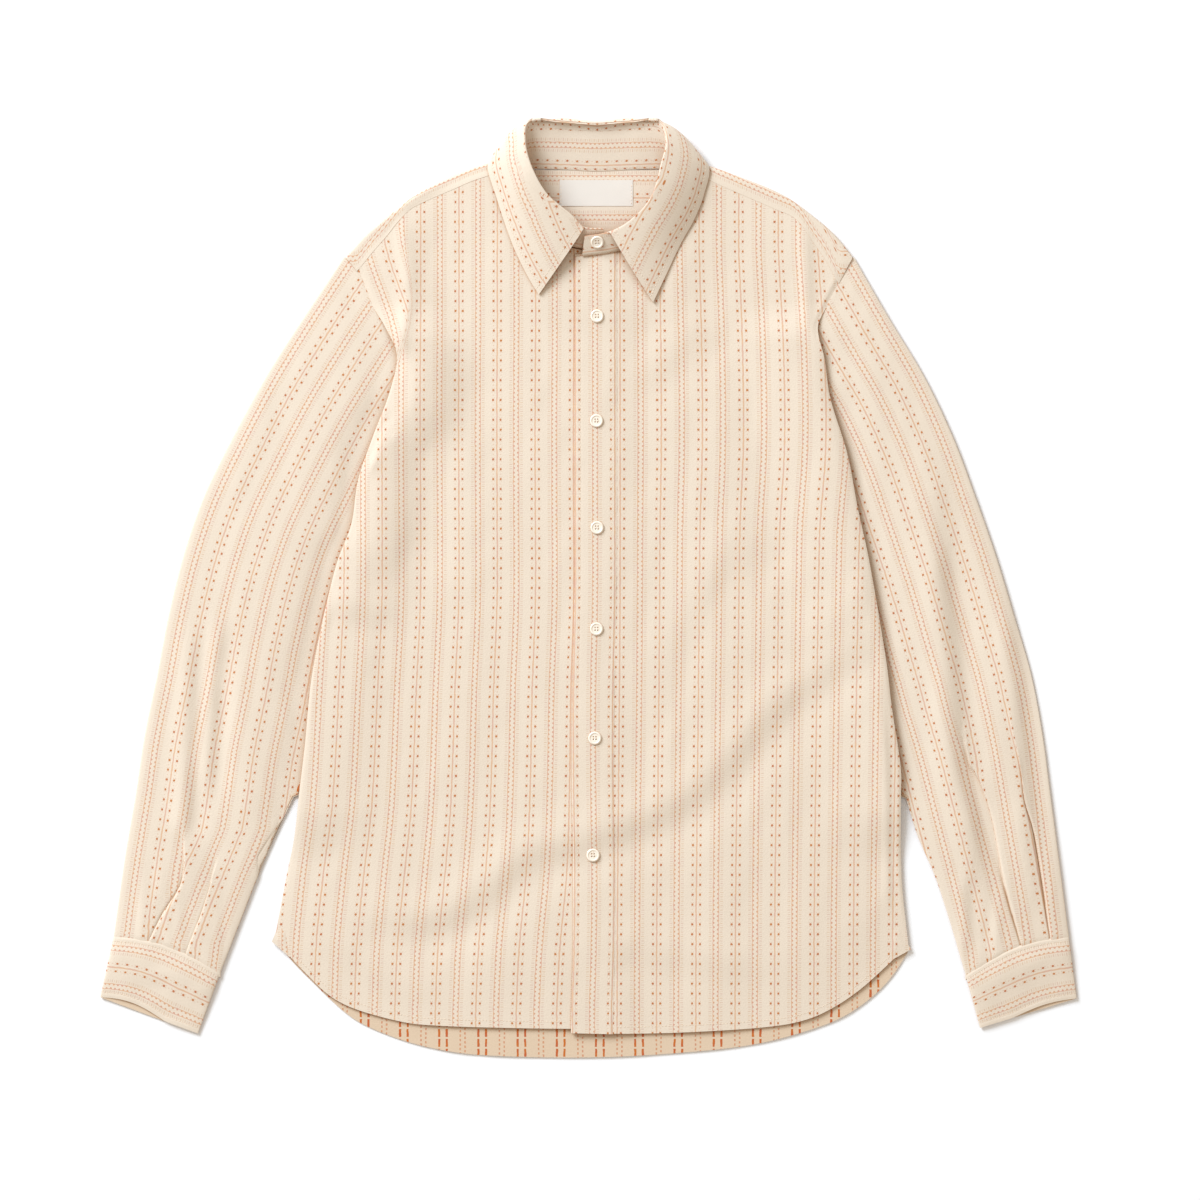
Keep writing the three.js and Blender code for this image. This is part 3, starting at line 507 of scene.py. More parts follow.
def fold_height(folds, x, y):
    """Sum of soft ridges: each falls off across its line as a bell curve and tapers at its ends."""
    total = np.zeros_like(x)
    for ax, ay, bx, by, width, rise in folds:
        dx, dy = bx - ax, by - ay
        length = math.hypot(dx, dy)
        t = ((x - ax) * dx + (y - ay) * dy) / length**2
        off = ((x - ax) * dy - (y - ay) * dx) / length
        taper = smooth((t + 0.12) / 0.35) * smooth((1.12 - t) / 0.35)
        total += rise * taper * np.exp(-(off / width) ** 2)
    return total


def slope_height(slopes, x, y):
    """Sum of soft steps down across each path, away from the light: the distance to the path
    times a bell curve, tapered at both ends of the path."""
    total = np.zeros_like(x)
    s = np.linspace(0, 1, 60)
    for path, drop, width in slopes:
        line = curve(path, s)
        way = np.gradient(line, axis=0)
        normal = stack(-way[:, 1], way[:, 0])
        normal = unit(normal * np.sign((normal * LIGHT_WAY).sum(-1, keepdims=True)))
        dx, dy = x[..., None] - line[:, 0], y[..., None] - line[:, 1]
        near = (dx**2 + dy**2).argmin(-1)
        pick = lambda d: np.take_along_axis(d, near[..., None], -1)[..., 0]
        r = (pick(dx) * normal[near, 0] + pick(dy) * normal[near, 1]) / width
        taper = smooth(s[near] / 0.25) * smooth((1 - s[near]) / 0.25)
        total += drop * r * np.exp(0.5 * (1 - r * r)) * taper
    return total


def drape_height(rows, x, y):
    """Sum of soft noises, one for each row of a drape table."""
    return sum(rise * soft_noise(x + slant * y, y, wide, long, seed)
               for rise, wide, long, slant, seed in rows)


def front_height(x, y, hem):
    """Height of the inside of a front: the back below, a roll at the side, the lift over the body
    and towards the neck, and the folds."""
    inward = np.maximum(0, body_inward(x, y))
    q = np.clip(inward / np.where(x < 0, *ROLL_WIDTHS), 0, 1)
    roll = mix(1, np.sqrt(1 - (1 - q) ** 2), smooth((SEAM_SHOWS_Y + 10 - y) / 20))
    near_hem = mix(0.2, 1, smooth((y - along(hem, x)) / 70))
    neck = np.hypot((x - NECK[0]) / NECK[2], (y - NECK[1]) / NECK[3])
    rest = CLOTH + SIDE_GAP
    folds = (fold_height(FRONT_FOLDS, x, y) + slope_height(FRONT_SLOPES, x, y)
             + drape_height(FRONT_DRAPE, x, y))
    armhole = -1.1 * smooth((y - SEAM_SHOWS_Y) / 25) * (1 - smooth(inward / 5))
    return (back_height(x, y) + rest + (FRONT_LIFT - rest) * roll * near_hem
            + NECK_LIFT * smooth((1.4 - neck) / 0.45) + armhole
            + folds * roll * smooth(inward / 10) * mix(0.3, 1, near_hem))


def overlap(x):
    """Extra lift of the front that buttons over the other, by a smooth step."""
    return OVERLAP_LIFT * smooth((52 - x) / 30)


LEFT_STRIPE = [
    (227, -12.3), (148, -12.8), (77, -12.7), (-11, -12.5), (-90, -15), (-169, -16.1),
    (-248, -18.5), (-319, -24.9), (-371, -27.5)]
LEFT_PITCH = [(253, 33.7), (-11, 33.7), (-183, 34.6), (-257, 35.7), (-371, 35.6)]
RIGHT_STRIPE = [(297, 28.2), (-11, 28.2), (-266, 26.1), (-390, 25.6)]
RIGHT_PITCH = [(297, 34.8), (209, 35.9), (124, 36.1), (40, 35.0), (-266, 34.6), (-390, 34.6)]
PINCH = [(324, -165), (271, -156), (248, -155), (230, -158), (202, -167)]
# For each side: its edges, the lift over the other front, the place and spacing of its stripes by
# y, the way they count, and its cut
FRONTS = {
    "left": (left_side, lambda y: front_edge(y) + UNDER_FRONT, LEFT_FRONT_TOP, LEFT_HEM,
             np.zeros_like, LEFT_STRIPE, LEFT_PITCH, -1, (295, 755, 0.171)),
    "right": (front_edge, right_side, RIGHT_FRONT_TOP, RIGHT_HEM,
              overlap, RIGHT_STRIPE, RIGHT_PITCH, 1, (298, 756, 0.183))}
for side, (first, last, top, hem, lift, stripe, pitch, sign, cut) in FRONTS.items():
    x, y = panel(190, 84, first, last, lambda x: along(top, x) - 0.1, lambda x: along(hem, x))
    # Distance from a stripe of known place, over the local spacing, times the true repeat
    u = sign * (x - along(stripe, y)) / along(pitch, y) * REPEAT
    if side == "left":
        # Left of the pinched fold the stripes have slipped inwards by up to 0.9 of a repeat
        slip = smooth((324 - y) / 121) * smooth((along(PINCH, y) - x) / 5 + 0.5)
        u += 0.9 * REPEAT * slip * (y > 200)
    points = stack(x, y, front_height(x, y, hem) + lift(x) + CLOTH)
    cloth_piece(f"front_{side}", points, stack(u, y), cut, ["back_cloth"], flip=True)

# Placket. A strip of the same cloth, folded at the front edge and stitched down along both
# sides, with a scalloped stripe up its middle under the buttons.
PLACKET_WIDTH = 36.7
PLACKET_LIFT = 0.55
STITCH_IN = 4.5
PLACKET_CUT = (42, 692, 0.0258)
PLACKET_STRIPE = [
    (227, 6.3), (77, 6.3), (-11, 6.2), (-90, 4.6), (-169, 4.6), (-248, 5.6), (-319, 5.0),
    (-367, 3.6)]


def placket_height(x, y):
    """Outer face of the placket: the front under it and its own cloth, rounded down at its long
    edges and faintly puckered between the stitches."""
    from_edge = x - front_edge(y)
    from_seam = PLACKET_WIDTH - from_edge
    edge = np.minimum(from_edge, from_seam)
    pucker = 0.18 * soft_noise(x, y, 60, 7, 8) * smooth(1 - edge / 12)
    stitched = 0.12 * np.exp(-((edge - STITCH_IN) / 0.8) ** 2)
    return (front_height(x, y, RIGHT_HEM) + overlap(x) + CLOTH + PLACKET_LIFT + pucker - stitched
            - 0.35 * (1 - smooth(from_edge)) - 0.4 * (1 - smooth(from_seam / 3)))


x, y = panel(190, 34, front_edge, lambda y: front_edge(y) + PLACKET_WIDTH,
             lambda x: along(RIGHT_FRONT_TOP, x) - 2, lambda x: along(RIGHT_HEM, x) - 0.5)
cloth_piece("placket", stack(x, y, placket_height(x, y)),
            stack(x - along(PLACKET_STRIPE, y) + REPEAT / 2, y), PLACKET_CUT,
            ["front_right_cloth"], flip=True)

# Yoke. It lies behind the neck, folds over both shoulders and ends in a strip on each front. Its
# stripes run across the back and along the shoulders.
SHOULDER = [
    (-217, 292), (-201, 310), (-180, 327), (-156, 345), (-121, 363), (-87, 374), (-70, 374),
    (88, 374), (106, 372), (133, 363), (177, 345), (203, 327), (223, 310), (238, 292)]
YOKE_NECK = (-72, 90, 367.5)
NECK_CORNER = 16
# y of each side edge: at the strip's seam, at the shoulder fold and at the back seam
YOKE_LEFT, YOKE_RIGHT = (280, 289, 267), (269, 289, 267)
YOKE_LAP = 1.6
YOKE_CUT = (460, 126, 0.0466)
YOKE_STRIPE_Y = 343.2

(first, _), (last, _) = SHOULDER[0], SHOULDER[-1]
fold_x = np.r_[np.linspace(first, YOKE_NECK[0], 39), np.linspace(*YOKE_NECK[:2], 43)[1:-1],
               np.linspace(YOKE_NECK[1], last, 39)]
# Stations: 0 to 1 over the strip on the front, to 2 round the fold, to 3 down the back
stations = np.r_[np.linspace(0, 1, 9), np.linspace(1, 2, 7)[1:-1], np.linspace(2, 3, 22)]
t, fx = grid(stations, fold_x)
left_y, right_y = (mix(mix(ends[0], ends[1], np.minimum(t, 1)), ends[2], np.clip(t - 2, 0, 1))
                   for ends in (YOKE_LEFT, YOKE_RIGHT))
x = mix(left_side(left_y), right_side(right_y), (fx - first) / (last - first))
bend = FRONT_LIFT / 2 + CLOTH / 2
fold_y = along(SHOULDER, fx) - bend
neck = np.clip(np.minimum(fx - YOKE_NECK[0], YOKE_NECK[1] - fx) / NECK_CORNER, 0, 1)
seam_y = along(FRONT_SEAM, x) - YOKE_LAP
turn = np.pi * np.clip(t - 1, 0, 1)
back_start = mix(fold_y, YOKE_NECK[2], neck)
y = np.select([t <= 1, t < 2],
              [mix(seam_y, np.maximum(seam_y + 1, fold_y), t), back_start + bend * np.sin(turn)],
              mix(back_start, BACK_SEAM_Y + 0.2, t - 2))
strip_z = mix(front_height(x, y, RIGHT_HEM) + CLOTH + 0.2, FRONT_LIFT + CLOTH, smooth(t))
strip_z -= 0.5 * (1 - smooth(body_inward(x, y) / 7)) * smooth(t)
z = np.where(t <= 1, strip_z, bend * (1 + np.cos(turn))) * (t < 2)
middle = (fold_x[1:] + fold_x[:-1]) / 2
keep = (stations[:-1, None] >= 2) | ((middle < YOKE_NECK[0]) | (middle > YOKE_NECK[1]))
cloth_piece("yoke", stack(x, y, z), stack(np.where(t < 1.5, y - seam_y + 6, y - YOKE_STRIPE_Y), x),
            YOKE_CUT, ["floor"], held="folded", materials=[face] * 2, keep=keep)

# Sleeves. Long tubes laid flat beside the body, the upper part of each inner edge tucked in under
# it. Fullness is pleated into the cuffs, and a crease runs up from each pleat.
SLEEVE_HIGH = 5.4
SLEEVE_LOW = 3.9
SLEEVE_EDGE = 1.9
SLEEVE_STRIPE = 6.0
SLEEVE_DRAPE = [(0.6, 30, 110, 0, 11), (0.35, 17, 50, 1 / 3, 12), (0.2, 11, 23, 0, 13)]
ALLOWANCE_Z = 2.2
HEAD_Y = 291
UNDERARM_Y = 50
CUFF_BOW = 8
SIDES = {
    "left": {
        "sign": -1, "side": left_side,
        "outer": [(292, -218), (239, -253), (187, -285), (134, -313), (81, -338), (28, -356),
                  (-25, -369), (-77, -379), (-130, -390), (-183, -398), (-236, -407),
                  (-306, -417)],
        "inner": [(-184, -259), (-218, -275), (-253, -290), (-289, -304), (-338, -323)],
        "cuff_out": (-429, -360), "cuff_in": (-343, -392), "mouth": 5.6,
        "cut": (486, 640, 0.144), "cuff_cut": (199, 57, 0.0108)},
    "right": {
        "sign": 1, "side": right_side,
        "outer": [(292, 238), (239, 268), (187, 298), (134, 322), (81, 341), (28, 359),
                  (-25, 375), (-77, 390), (-130, 400), (-183, 407), (-236, 414), (-306, 423)],
        "inner": [(-186, 280), (-218, 290), (-253, 305), (-289, 317), (-340, 332)],
        "cuff_out": (430, -361), "cuff_in": (345, -387), "mouth": 3.2,
        "cut": (484, 633, 0.128), "cuff_cut": (195, 53, 0.0097)},
}
# Pleats: path (y, x), depth of the valley left of it, rise of the fold right of it, half widths of
# both, how much cloth it has swallowed at its low end (less than none: from the left side), and
# depth of the groove between
PLEATS = [
    ([(-212, -356), (-257, -357), (-288, -375), (-312, -387)], 1.1, 1.0, 9, 12, 24, 1.1),
    ([(-236, -326), (-275, -336), (-322, -354)], 1.1, 0.8, 10, 10, 0, 0.5),
    ([(-205, -271), (-236, -290)], 0.5, 0.2, 5, 5, 0, 0.5),
    ([(-112, 330), (-151, 334), (-172, 345), (-204, 355), (-257, 365), (-318, 382)],
     3.0, 1.8, 15, 14, -17, 2.2),
    ([(-100, 369), (-116, 370), (-155, 380), (-187, 384), (-215, 392), (-310, 407)],
     2.2, 1.0, 9, 8, -10, 2.4)]
# Slopes that turn from the light: path (x, y), drop, half width
SLEEVE_SLOPES = [
    ([(-344, -20), (-347, -90), (-350, -186), (-350, -230)], 1.7, 8),
    ([(-319, -20), (-328, -110), (-331, -200)], 1.5, 7),
    ([(-262, 200), (-286, 130), (-306, 60)], 0.5, 14),
    ([(304, 110), (314, 20), (322, -60), (329, -150), (344, -215), (352, -290)], 3.0, 12),
    ([(366, 20), (376, -50), (384, -120), (390, -190), (402, -290)], 2.3, 9),
    ([(330, -250), (336, -290), (341, -325)], 1.0, 6),
    ([(268, 180), (300, 120), (326, 70)], 0.8, 12)]


def pleated(x, y):
    """Draws the points at each pleat together into a narrow groove, and returns the moved x, the
    height that the pleats add and the width of cloth that they hide. A pleat is closed above its
    path, open from a third down, and reaches a little past its low end."""
    moved, height, hidden = x.copy(), np.zeros_like(x), np.zeros_like(x)
    for path, depth, rise, valley_width, fold_width, swallowed, groove in PLEATS:
        high, low = path[0][0], path[-1][0]
        off = x - along(path, y)
        opened = smooth((high + 6 - y) / (0.35 * (high - low))) * smooth((y - low + 24) / 12)
        grown = np.clip((high - y) / (high - low), 0, 1)
        pulled = 0.75 * off * np.exp(-(off / 5) ** 2) * opened
        moved -= pulled
        fold = rise * np.exp(-(off / fold_width) ** 2)
        valley = depth * np.exp(-(off / valley_width) ** 2)
        height += np.where(off > 0, fold, -valley) * opened * (1 - 0.5 * grown)
        height -= groove * np.exp(-(off - pulled) ** 2) * smooth(grown * 2.5 - 0.6)
        own_sleeve = x * path[0][1] > 0
        hidden += swallowed * grown * (off * swallowed > 0) * own_sleeve
    return moved, height, hidden


def tuck_at(y):
    """How far a sleeve lies in under the body's side at y."""
    return TUCK * smooth((SEAM_SHOWS_Y - y) / 32) * smooth((y - GAP_TOP_Y) / 40)


def sleeve_edges(part, v):
    """Outer and inner edge of a sleeve, v from 0 at the armhole to 1 at the cuff."""
    outer_y = mix(part["outer"][0][0], part["outer"][-1][0], v)
    inner_y = mix(UNDERARM_Y, part["inner"][-1][0], v)
    covered = part["side"](inner_y) - part["sign"] * tuck_at(inner_y)
    inner_x = np.where(inner_y > GAP_TOP_Y, covered, along(part["inner"], inner_y))
    return (along(part["outer"], outer_y), outer_y), (inner_x, inner_y)


def cuff_bow(u):
    """Bow of the cuff seam towards the sleeve: half a sine wave."""
    return CUFF_BOW * np.sin(np.pi * u)


def sleeve_path(part, v, u):
    """x and y of a sleeve: a straight blend between its edges, pulled to the armhole's curve near
    the head and bowed at the cuff seam."""
    (ox, oy), (ix, iy) = sleeve_edges(part, v)
    (ox0, oy0), (ix0, iy0) = sleeve_edges(part, np.zeros_like(v))
    hole_y = mix(HEAD_Y, UNDERARM_Y, u**1.05)
    hole_x = part["side"](hole_y) - part["sign"] * (tuck_at(hole_y) - 0.5)
    head = (1 - smooth(v / 0.5)) ** 1.5
    x = mix(ox, ix, u) + (hole_x - mix(ox0, ix0, u)) * head
    y = mix(oy, iy, u) + (hole_y - mix(oy0, iy0, u)) * head
    return x, y + (cuff_bow(u) + 0.2) * smooth((v - 0.8) / 0.2)


def tube_grid(rows, top_steps, under_steps):
    """Grid over a flattened tube: v along it, u across it from its outer edge and back, which
    layer a column is in, and how full the tube is there."""
    a = np.r_[np.linspace(0, 1, top_steps + 1)[:-1], np.linspace(1, 0, under_steps + 1)]
    v, u = grid(np.linspace(0, 1, rows), (1 - np.cos(np.pi * a)) / 2)
    return v, u, np.arange(len(a)) < top_steps, np.sin(np.pi * np.clip(a, 0, 1)) ** 0.45


def tube_points(x, y, high, top, fullness):
    """Points of a flattened tube: the upper layer at its height and the lower one on the table,
    both brought together at the edges. The last column repeats the first."""
    points = stack(x, y, mix(SLEEVE_EDGE, np.where(top, high, 0), fullness))
    points[:, -1] = points[:, 0]
    return points


def run_along(points, axis=0):
    """Distance from the first point of a line, or along a grid's columns or rows."""
    steps = np.linalg.norm(np.diff(points, axis=axis), axis=-1)
    start = np.zeros_like(np.take(steps, [0], axis=axis))
    return np.concatenate([start, np.cumsum(steps, axis=axis)], axis=axis)


def from_line(points, line):
    """Distance of each point from a line of points, and how far along the line it lies."""
    tangent = unit(np.gradient(line, axis=0))
    flat = points.reshape(-1, points.shape[-1])
    near = np.concatenate([((some[:, None] - line[None]) ** 2).sum(-1).argmin(1)
                           for some in np.array_split(flat, 40)])
    offset = flat - line[near]
    lengthways = (offset * tangent[near]).sum(1)
    distance = np.linalg.norm(offset - tangent[near] * lengthways[:, None], axis=1)
    shape = points.shape[:2]
    return distance.reshape(shape), (run_along(line)[near] + lengthways).reshape(shape)


def outer_line(part):
    """A sleeve's outer edge as a line of points, run on straight at both ends."""
    y = np.linspace(part["outer"][0][0], part["outer"][-1][0], 400)
    line = stack(along(part["outer"], y), y)
    head = line[0] + unit(line[0] - line[9]) * np.arange(200, 0, -2.0)[:, None]
    tail = line[-1] + unit(line[-1] - line[-10]) * np.arange(2.0, 120, 2)[:, None]
    return np.concatenate([head, line, tail])


for side, part in SIDES.items():
    sign = part["sign"]
    v, u, top, fullness = tube_grid(180, 140, 34)
    x, y = sleeve_path(part, v, u)
    clear = sign * (x - part["side"](y))
    gather = 0.8 * soft_noise(x, y, 8, 60, 14) * smooth((v - 0.82) / 0.16)
    folds = drape_height(SLEEVE_DRAPE, x, y) + slope_height(SLEEVE_SLOPES, x, y) + gather
    moved, pleats, hidden = pleated(x, y)
    level = mix(SLEEVE_LOW, SLEEVE_HIGH, smooth((clear - 4) / 40))
    level -= 2.2 * np.exp(-((clear - 3) / 15) ** 2) * smooth((SEAM_SHOWS_Y - 20 - y) / 40)
    level += 0.5 * smooth((y - SEAM_SHOWS_Y) / 25) * (1 - smooth(clear / 30))
    near_cuff = smooth((v - 0.93) / 0.07)
    high = level + (pleats + folds) * smooth((clear - 4) / 12) * mix(1, 0.6, near_cuff)
    # The upper layer never sinks below the edges
    high = SLEEVE_EDGE + np.logaddexp(0, 2.5 * (high - SLEEVE_EDGE)) / 2.5
    across, lengthways = from_line(stack(x, y), outer_line(part))
    points = tube_points(np.where(top, moved, x), y, high, top, fullness)
    # Seam allowances: a row that runs in under the body, and one inside the cuff
    into_body = points[0] + (-sign * 5.5, -1.5, 0)
    into_body[:, 2] = mix(ALLOWANCE_Z, into_body[:, 2], 0.7)
    into_cuff = points[-1] + (0, -5, 0)
    into_cuff[:, 2] = mix(ALLOWANCE_Z, np.minimum(into_cuff[:, 2], 5), 0.6)
    points = np.concatenate([into_body[None], points, into_cuff[None]])
    uv = stack(np.where(top, across - sign * hidden, -across) + SLEEVE_STRIPE, lengthways)
    cloth_piece(f"sleeve_{side}", points, np.concatenate([uv[:1], uv, uv[-1:]]), part["cut"],
                ["floor"], wrap=True, flip=sign < 0)

# Cuffs. Each is a double, interlined band closed to a ring, its mouth a little open where the
# upper layer stands off the lower. The stripes run round the wrist.
CUFF_WALL = 1.6
CUFF_HIGH = 6.8
CUFF_STEPS = 52
cuff_grids = {}
for side, part in SIDES.items():
    v, u, top, fullness = tube_grid(46, CUFF_STEPS, 34)
    (ox0, oy0), (ix0, iy0) = sleeve_edges(part, np.array(1.0))
    (ox1, oy1), (ix1, iy1) = part["cuff_out"], part["cuff_in"]
    length = math.hypot(ox1 - ox0, oy1 - oy0)
    x = mix(mix(ox0, ox1, v), mix(ix0, ix1, v), u)
    mouth = np.where(top, part["mouth"] * np.sin(np.pi * np.clip(u / 0.66, 0, 1)), 0)
    y = mix(mix(oy0, oy1, v), mix(iy0, iy1, v), u) + mix(cuff_bow(u) - 0.2, mouth, v)
    high = (mix(SLEEVE_HIGH + 0.1, CUFF_HIGH, smooth(v / 0.35)) - 3.4 * smooth((v - 0.1) / 0.9)
            + 0.35 * soft_noise(x, y, 14, 11, 17))
    # Rows of stitching pull the cloth in near the seam and the mouth, and both edges round down
    from_seam, from_mouth = v * length, (1 - v) * length
    stitched = np.minimum(from_seam, from_mouth) - STITCH_IN
    high -= (0.35 * np.exp(-stitched**2) + 0.4 * smooth(1 - from_mouth / 3)
             + 1.0 - smooth(from_seam / 2))
    points = tube_points(x, y, high, top, fullness)
    round_wrist = np.where(top, u, 2 - u) * math.hypot(ox1 - ix1, oy1 - iy1)
    cloth_piece(f"cuff_{side}", points, stack(from_seam - length / 2, round_wrist),
                part["cuff_cut"], ["floor"], CUFF_WALL, wrap=True, flip=part["sign"] < 0)
    cuff_grids[side] = points

# Collar. The stand is a firm band from the neck seam to the fold, its ends overlapped under the
# top button. The leaf folds over it and falls to two long points. Both are interlined.
COLLAR_WALL = 1.7
STAND = [
    (16, 299, 7.0, 14, 316, 20), (-5, 300, 7.1, -3, 317, 22.5), (-25, 306, 7.4, -15, 327, 27),
    (-47, 323, 7.6, -36, 345, 30), (-61, 345, 7.6, -49, 368, 31), (-67, 362, 6.6, -54, 391, 27),
    (-56, 369, 2.2, -49, 407, 14), (-25, 369, 2.0, -25, 406, 7.5), (8, 368, 2.0, 7, 404, 6.8),
    (41, 369, 2.0, 38, 406, 7.5), (71, 369, 2.2, 61, 407, 14), (85, 361, 6.6, 68, 391, 27),
    (84, 347, 7.6, 64, 370, 31), (76, 331, 7.7, 59, 350, 31), (60, 315, 7.8, 50, 334, 30),
    (40, 302, 8.0, 34, 320, 27.5), (19, 296, 10.5, 16, 312, 25), (-5, 293, 10.7, -3, 309, 24)]
LEAF = [
    (-4, 315, 26, -20, 291, 19, -43, 258, 7.4), (-15, 327, 29.5, -33, 303, 21, -53, 275, 7.4),
    (-36, 345, 32.5, -50, 328, 23, -66, 303, 7.4), (-49, 368, 33.5, -64, 356, 23, -79, 342, 7.2),
    (-55, 391, 29.5, -73, 381, 17, -87, 372, 6.2), (-51, 408, 19, -68, 398, 8, -72, 380, 2.1),
    (-25, 408, 11.5, -28, 407, 4.2, -30, 377, 2.0), (7, 406, 10.5, 7, 405, 4, 7, 377, 2.0),
    (38, 408, 11.5, 41, 407, 4.2, 43, 377, 2.0), (63, 408, 19, 80, 398, 8, 86, 380, 2.1),
    (69, 391, 29.5, 90, 381, 17, 105, 370, 6.2), (64, 370, 33.5, 84, 358, 23, 101, 346, 7.2),
    (59, 350, 33.5, 76, 337, 23, 93, 325, 7.4), (50, 334, 32.5, 64, 316, 22, 81, 303, 7.4),
    (34, 319, 30, 49, 298, 21, 68, 275, 7.6), (20, 311, 27.5, 36, 284, 19, 57, 251, 7.6)]
STAND_CUT = (395, 42, 0.0126)
STAND_STRIPE = 5.0
LEAF_CUT = (450, 74, 0.0211)
LEAF_STRIPE = 9.9
LEAF_STITCH = 5
ROLL_STEPS = 12


def guide(table, first, s):
    """Smooth line through three neighbouring columns of a collar table, s from 0 to 1, pressed
    down by its own weight, most at both ends."""
    line = curve([row[first:first + 3] for row in table], s)
    pressed = mix(0.46, 0.62, smooth(np.minimum(s, 1 - s) / 0.25))
    line[..., 2] = np.where(line[..., 2] > 8, 8 + (line[..., 2] - 8) * pressed, line[..., 2])
    return line


def outward(points, distance):
    """Points moved along the surface's own normal."""
    across, down = np.gradient(points, axis=1), np.gradient(points, axis=0)
    return points + unit(np.cross(across, down)) * distance


def bent(a, b, c, w):
    """Curve from a to c drawn towards b: (1 - w)^2 a + 2 w (1 - w) b + w^2 c, w from 0 to 1."""
    return (1 - w) ** 2 * a + 2 * w * (1 - w) * b + w**2 * c


s, t = grid(np.linspace(0, 1, 240), np.linspace(0, 1, 16))
stand_inside = mix(guide(STAND, 0, s), guide(STAND, 3, s), t[..., None])
# Its seam allowance curls in under it to meet the yoke and the fronts
seam = stand_inside[:, :1]
allowance = seam + unit((np.array([*NECK[:2], 0]) - seam) * (1, 1, 0)) * 1.4
drop = mix(2.0, 9.0, smooth((np.minimum(s, 1 - s)[:, :1] - 0.12) / 0.15))
allowance[..., 2] = np.maximum(seam[..., 2] - drop, CLOTH + 0.35)
points = np.concatenate([allowance, stand_inside], 1)
uv = stack(run_along(points, 1) - STAND_STRIPE, run_along(points))
cloth_piece("collar_stand", points, uv, STAND_CUT, ["front_left_cloth", "front_right_cloth"],
            COLLAR_WALL, materials=[face] * 2, flip=True)

s, t = grid(np.linspace(0, 1, 300), np.linspace(0, 1, 52))
fold, middle, edge = (guide(LEAF, first, s) for first in (0, 3, 6))
middle[..., 2] += 0.06 * (fold[..., 2] - edge[..., 2])
leaf_inside = bent(fold, 2 * middle - (fold + edge) / 2, edge, t[..., None])
leaf_points = outward(leaf_inside, -COLLAR_WALL)
from_edge, edge_run = from_line(leaf_points, leaf_points[:, -1])
stitched = 0.15 * np.exp(-(from_edge - LEAF_STITCH)[..., None] ** 2)
leaf_points = outward(leaf_inside, stitched - COLLAR_WALL)
# The leaf rolls over from the stand's top edge: a curve from there, up and over to its own start
stand_s = (15 * s[:, :1] + 1) / 17
stand_low, stand_top = guide(STAND, 0, stand_s), guide(STAND, 3, stand_s)
rise_way = unit(stand_top - stand_low)
stand_in = unit(np.cross(np.gradient(stand_top, axis=0), rise_way))
roll_start = stand_top - rise_way * 2.4 + stand_in * 0.12
roll_peak = mix(stand_top + rise_way * 4.2, leaf_points[:, :1], 0.35)
w = np.linspace(0, 1, ROLL_STEPS + 1)[None, :-1, None]
leaf_points = np.concatenate([bent(roll_start, roll_peak, leaf_points[:, :1], w), leaf_points], 1)
# The stripes run parallel to the outer edge
near_tip = smooth((0.24 - np.minimum(s, 1 - s)) / 0.12)
column_run = run_along(leaf_points[:, :ROLL_STEPS - 1:-1], 1)[:, ::-1]
from_edge = mix(column_run, from_edge, near_tip)
edge_run = mix(edge_run[:, -1:], edge_run, near_tip)
roll_run = run_along(leaf_points[:, ROLL_STEPS::-1], 1)[:, :0:-1]
u = np.concatenate([from_edge[:, :1] + roll_run, from_edge], 1) - LEAF_STRIPE
v = np.concatenate([np.repeat(edge_run[:, :1], ROLL_STEPS, 1), edge_run], 1)
cloth_piece("collar_leaf", leaf_points, stack(u, v), LEAF_CUT, ["collar_stand_cloth"], COLLAR_WALL,
            held="folded", materials=[face] * 2, flip=True)

# Gussets. A small folded triangle covers each hem corner, where front and back part.
GUSSET_LIFT = 0.45
GUSSETS = {
    "left": ((-272, -297), (-266, -299), (-278, -311), (-262, -325), LEFT_HEM,
             (16, 28, 0.00023)),
    "right": ((268, -297), (273, -296), (264, -329), (284, -318), RIGHT_HEM,
              (20, 33, 0.00036))}
for side, (a, b, c, d, hem, cut) in GUSSETS.items():
    v, u = grid(np.linspace(0, 1, 14), np.linspace(0, 1, 10))
    x, y = (mix(mix(a[k], b[k], u), mix(c[k], d[k], u), v) for k in (0, 1))
    rim = np.minimum(np.minimum(u, 1 - u), np.minimum(v, 1 - v))
    z = front_height(x, y, hem) + CLOTH + GUSSET_LIFT - 0.5 * (1 - smooth(rim / 0.4))
    cloth_piece(f"gusset_{side}", stack(x, y, z), stack(x + 8, y), cut, [f"front_{side}_cloth"],
                flip=True)

# Label. A bare woven satin tape, stitched to the inside of the yoke at both ends.
LABEL = (-25, 39.5, 336, 359)
LABEL_LIFT = 0.45
LABEL_WALL = 0.9
LABEL_CUT = (64.5, 23, 0.00148)
LABEL_WHITE = "#E0DCD6"


def label_satin():
    """Woven polyester satin tape: a soft sheen across fine ribs, almost white."""
    material, tree = new_material("woven_satin_tape")
    uv = add(tree, "ShaderNodeUVMap", {"uv_map": "cloth"})
    ribs = add(tree, "ShaderNodeTexWave", {"bands_direction": "Y"}, {
        "Vector": uv.outputs[0], "Scale": 0.6, "Distortion": 0.4})
    bump = add(tree, "ShaderNodeBump", links={
        "Strength": 0.25, "Distance": 0.1 * MM, "Height": ribs.outputs[0]})
    return surface(material, tree, {
        "Base Color": linear(LABEL_WHITE), "Roughness": 0.45, "Sheen Weight": 0.2,
        "Normal": bump.outputs[0]})


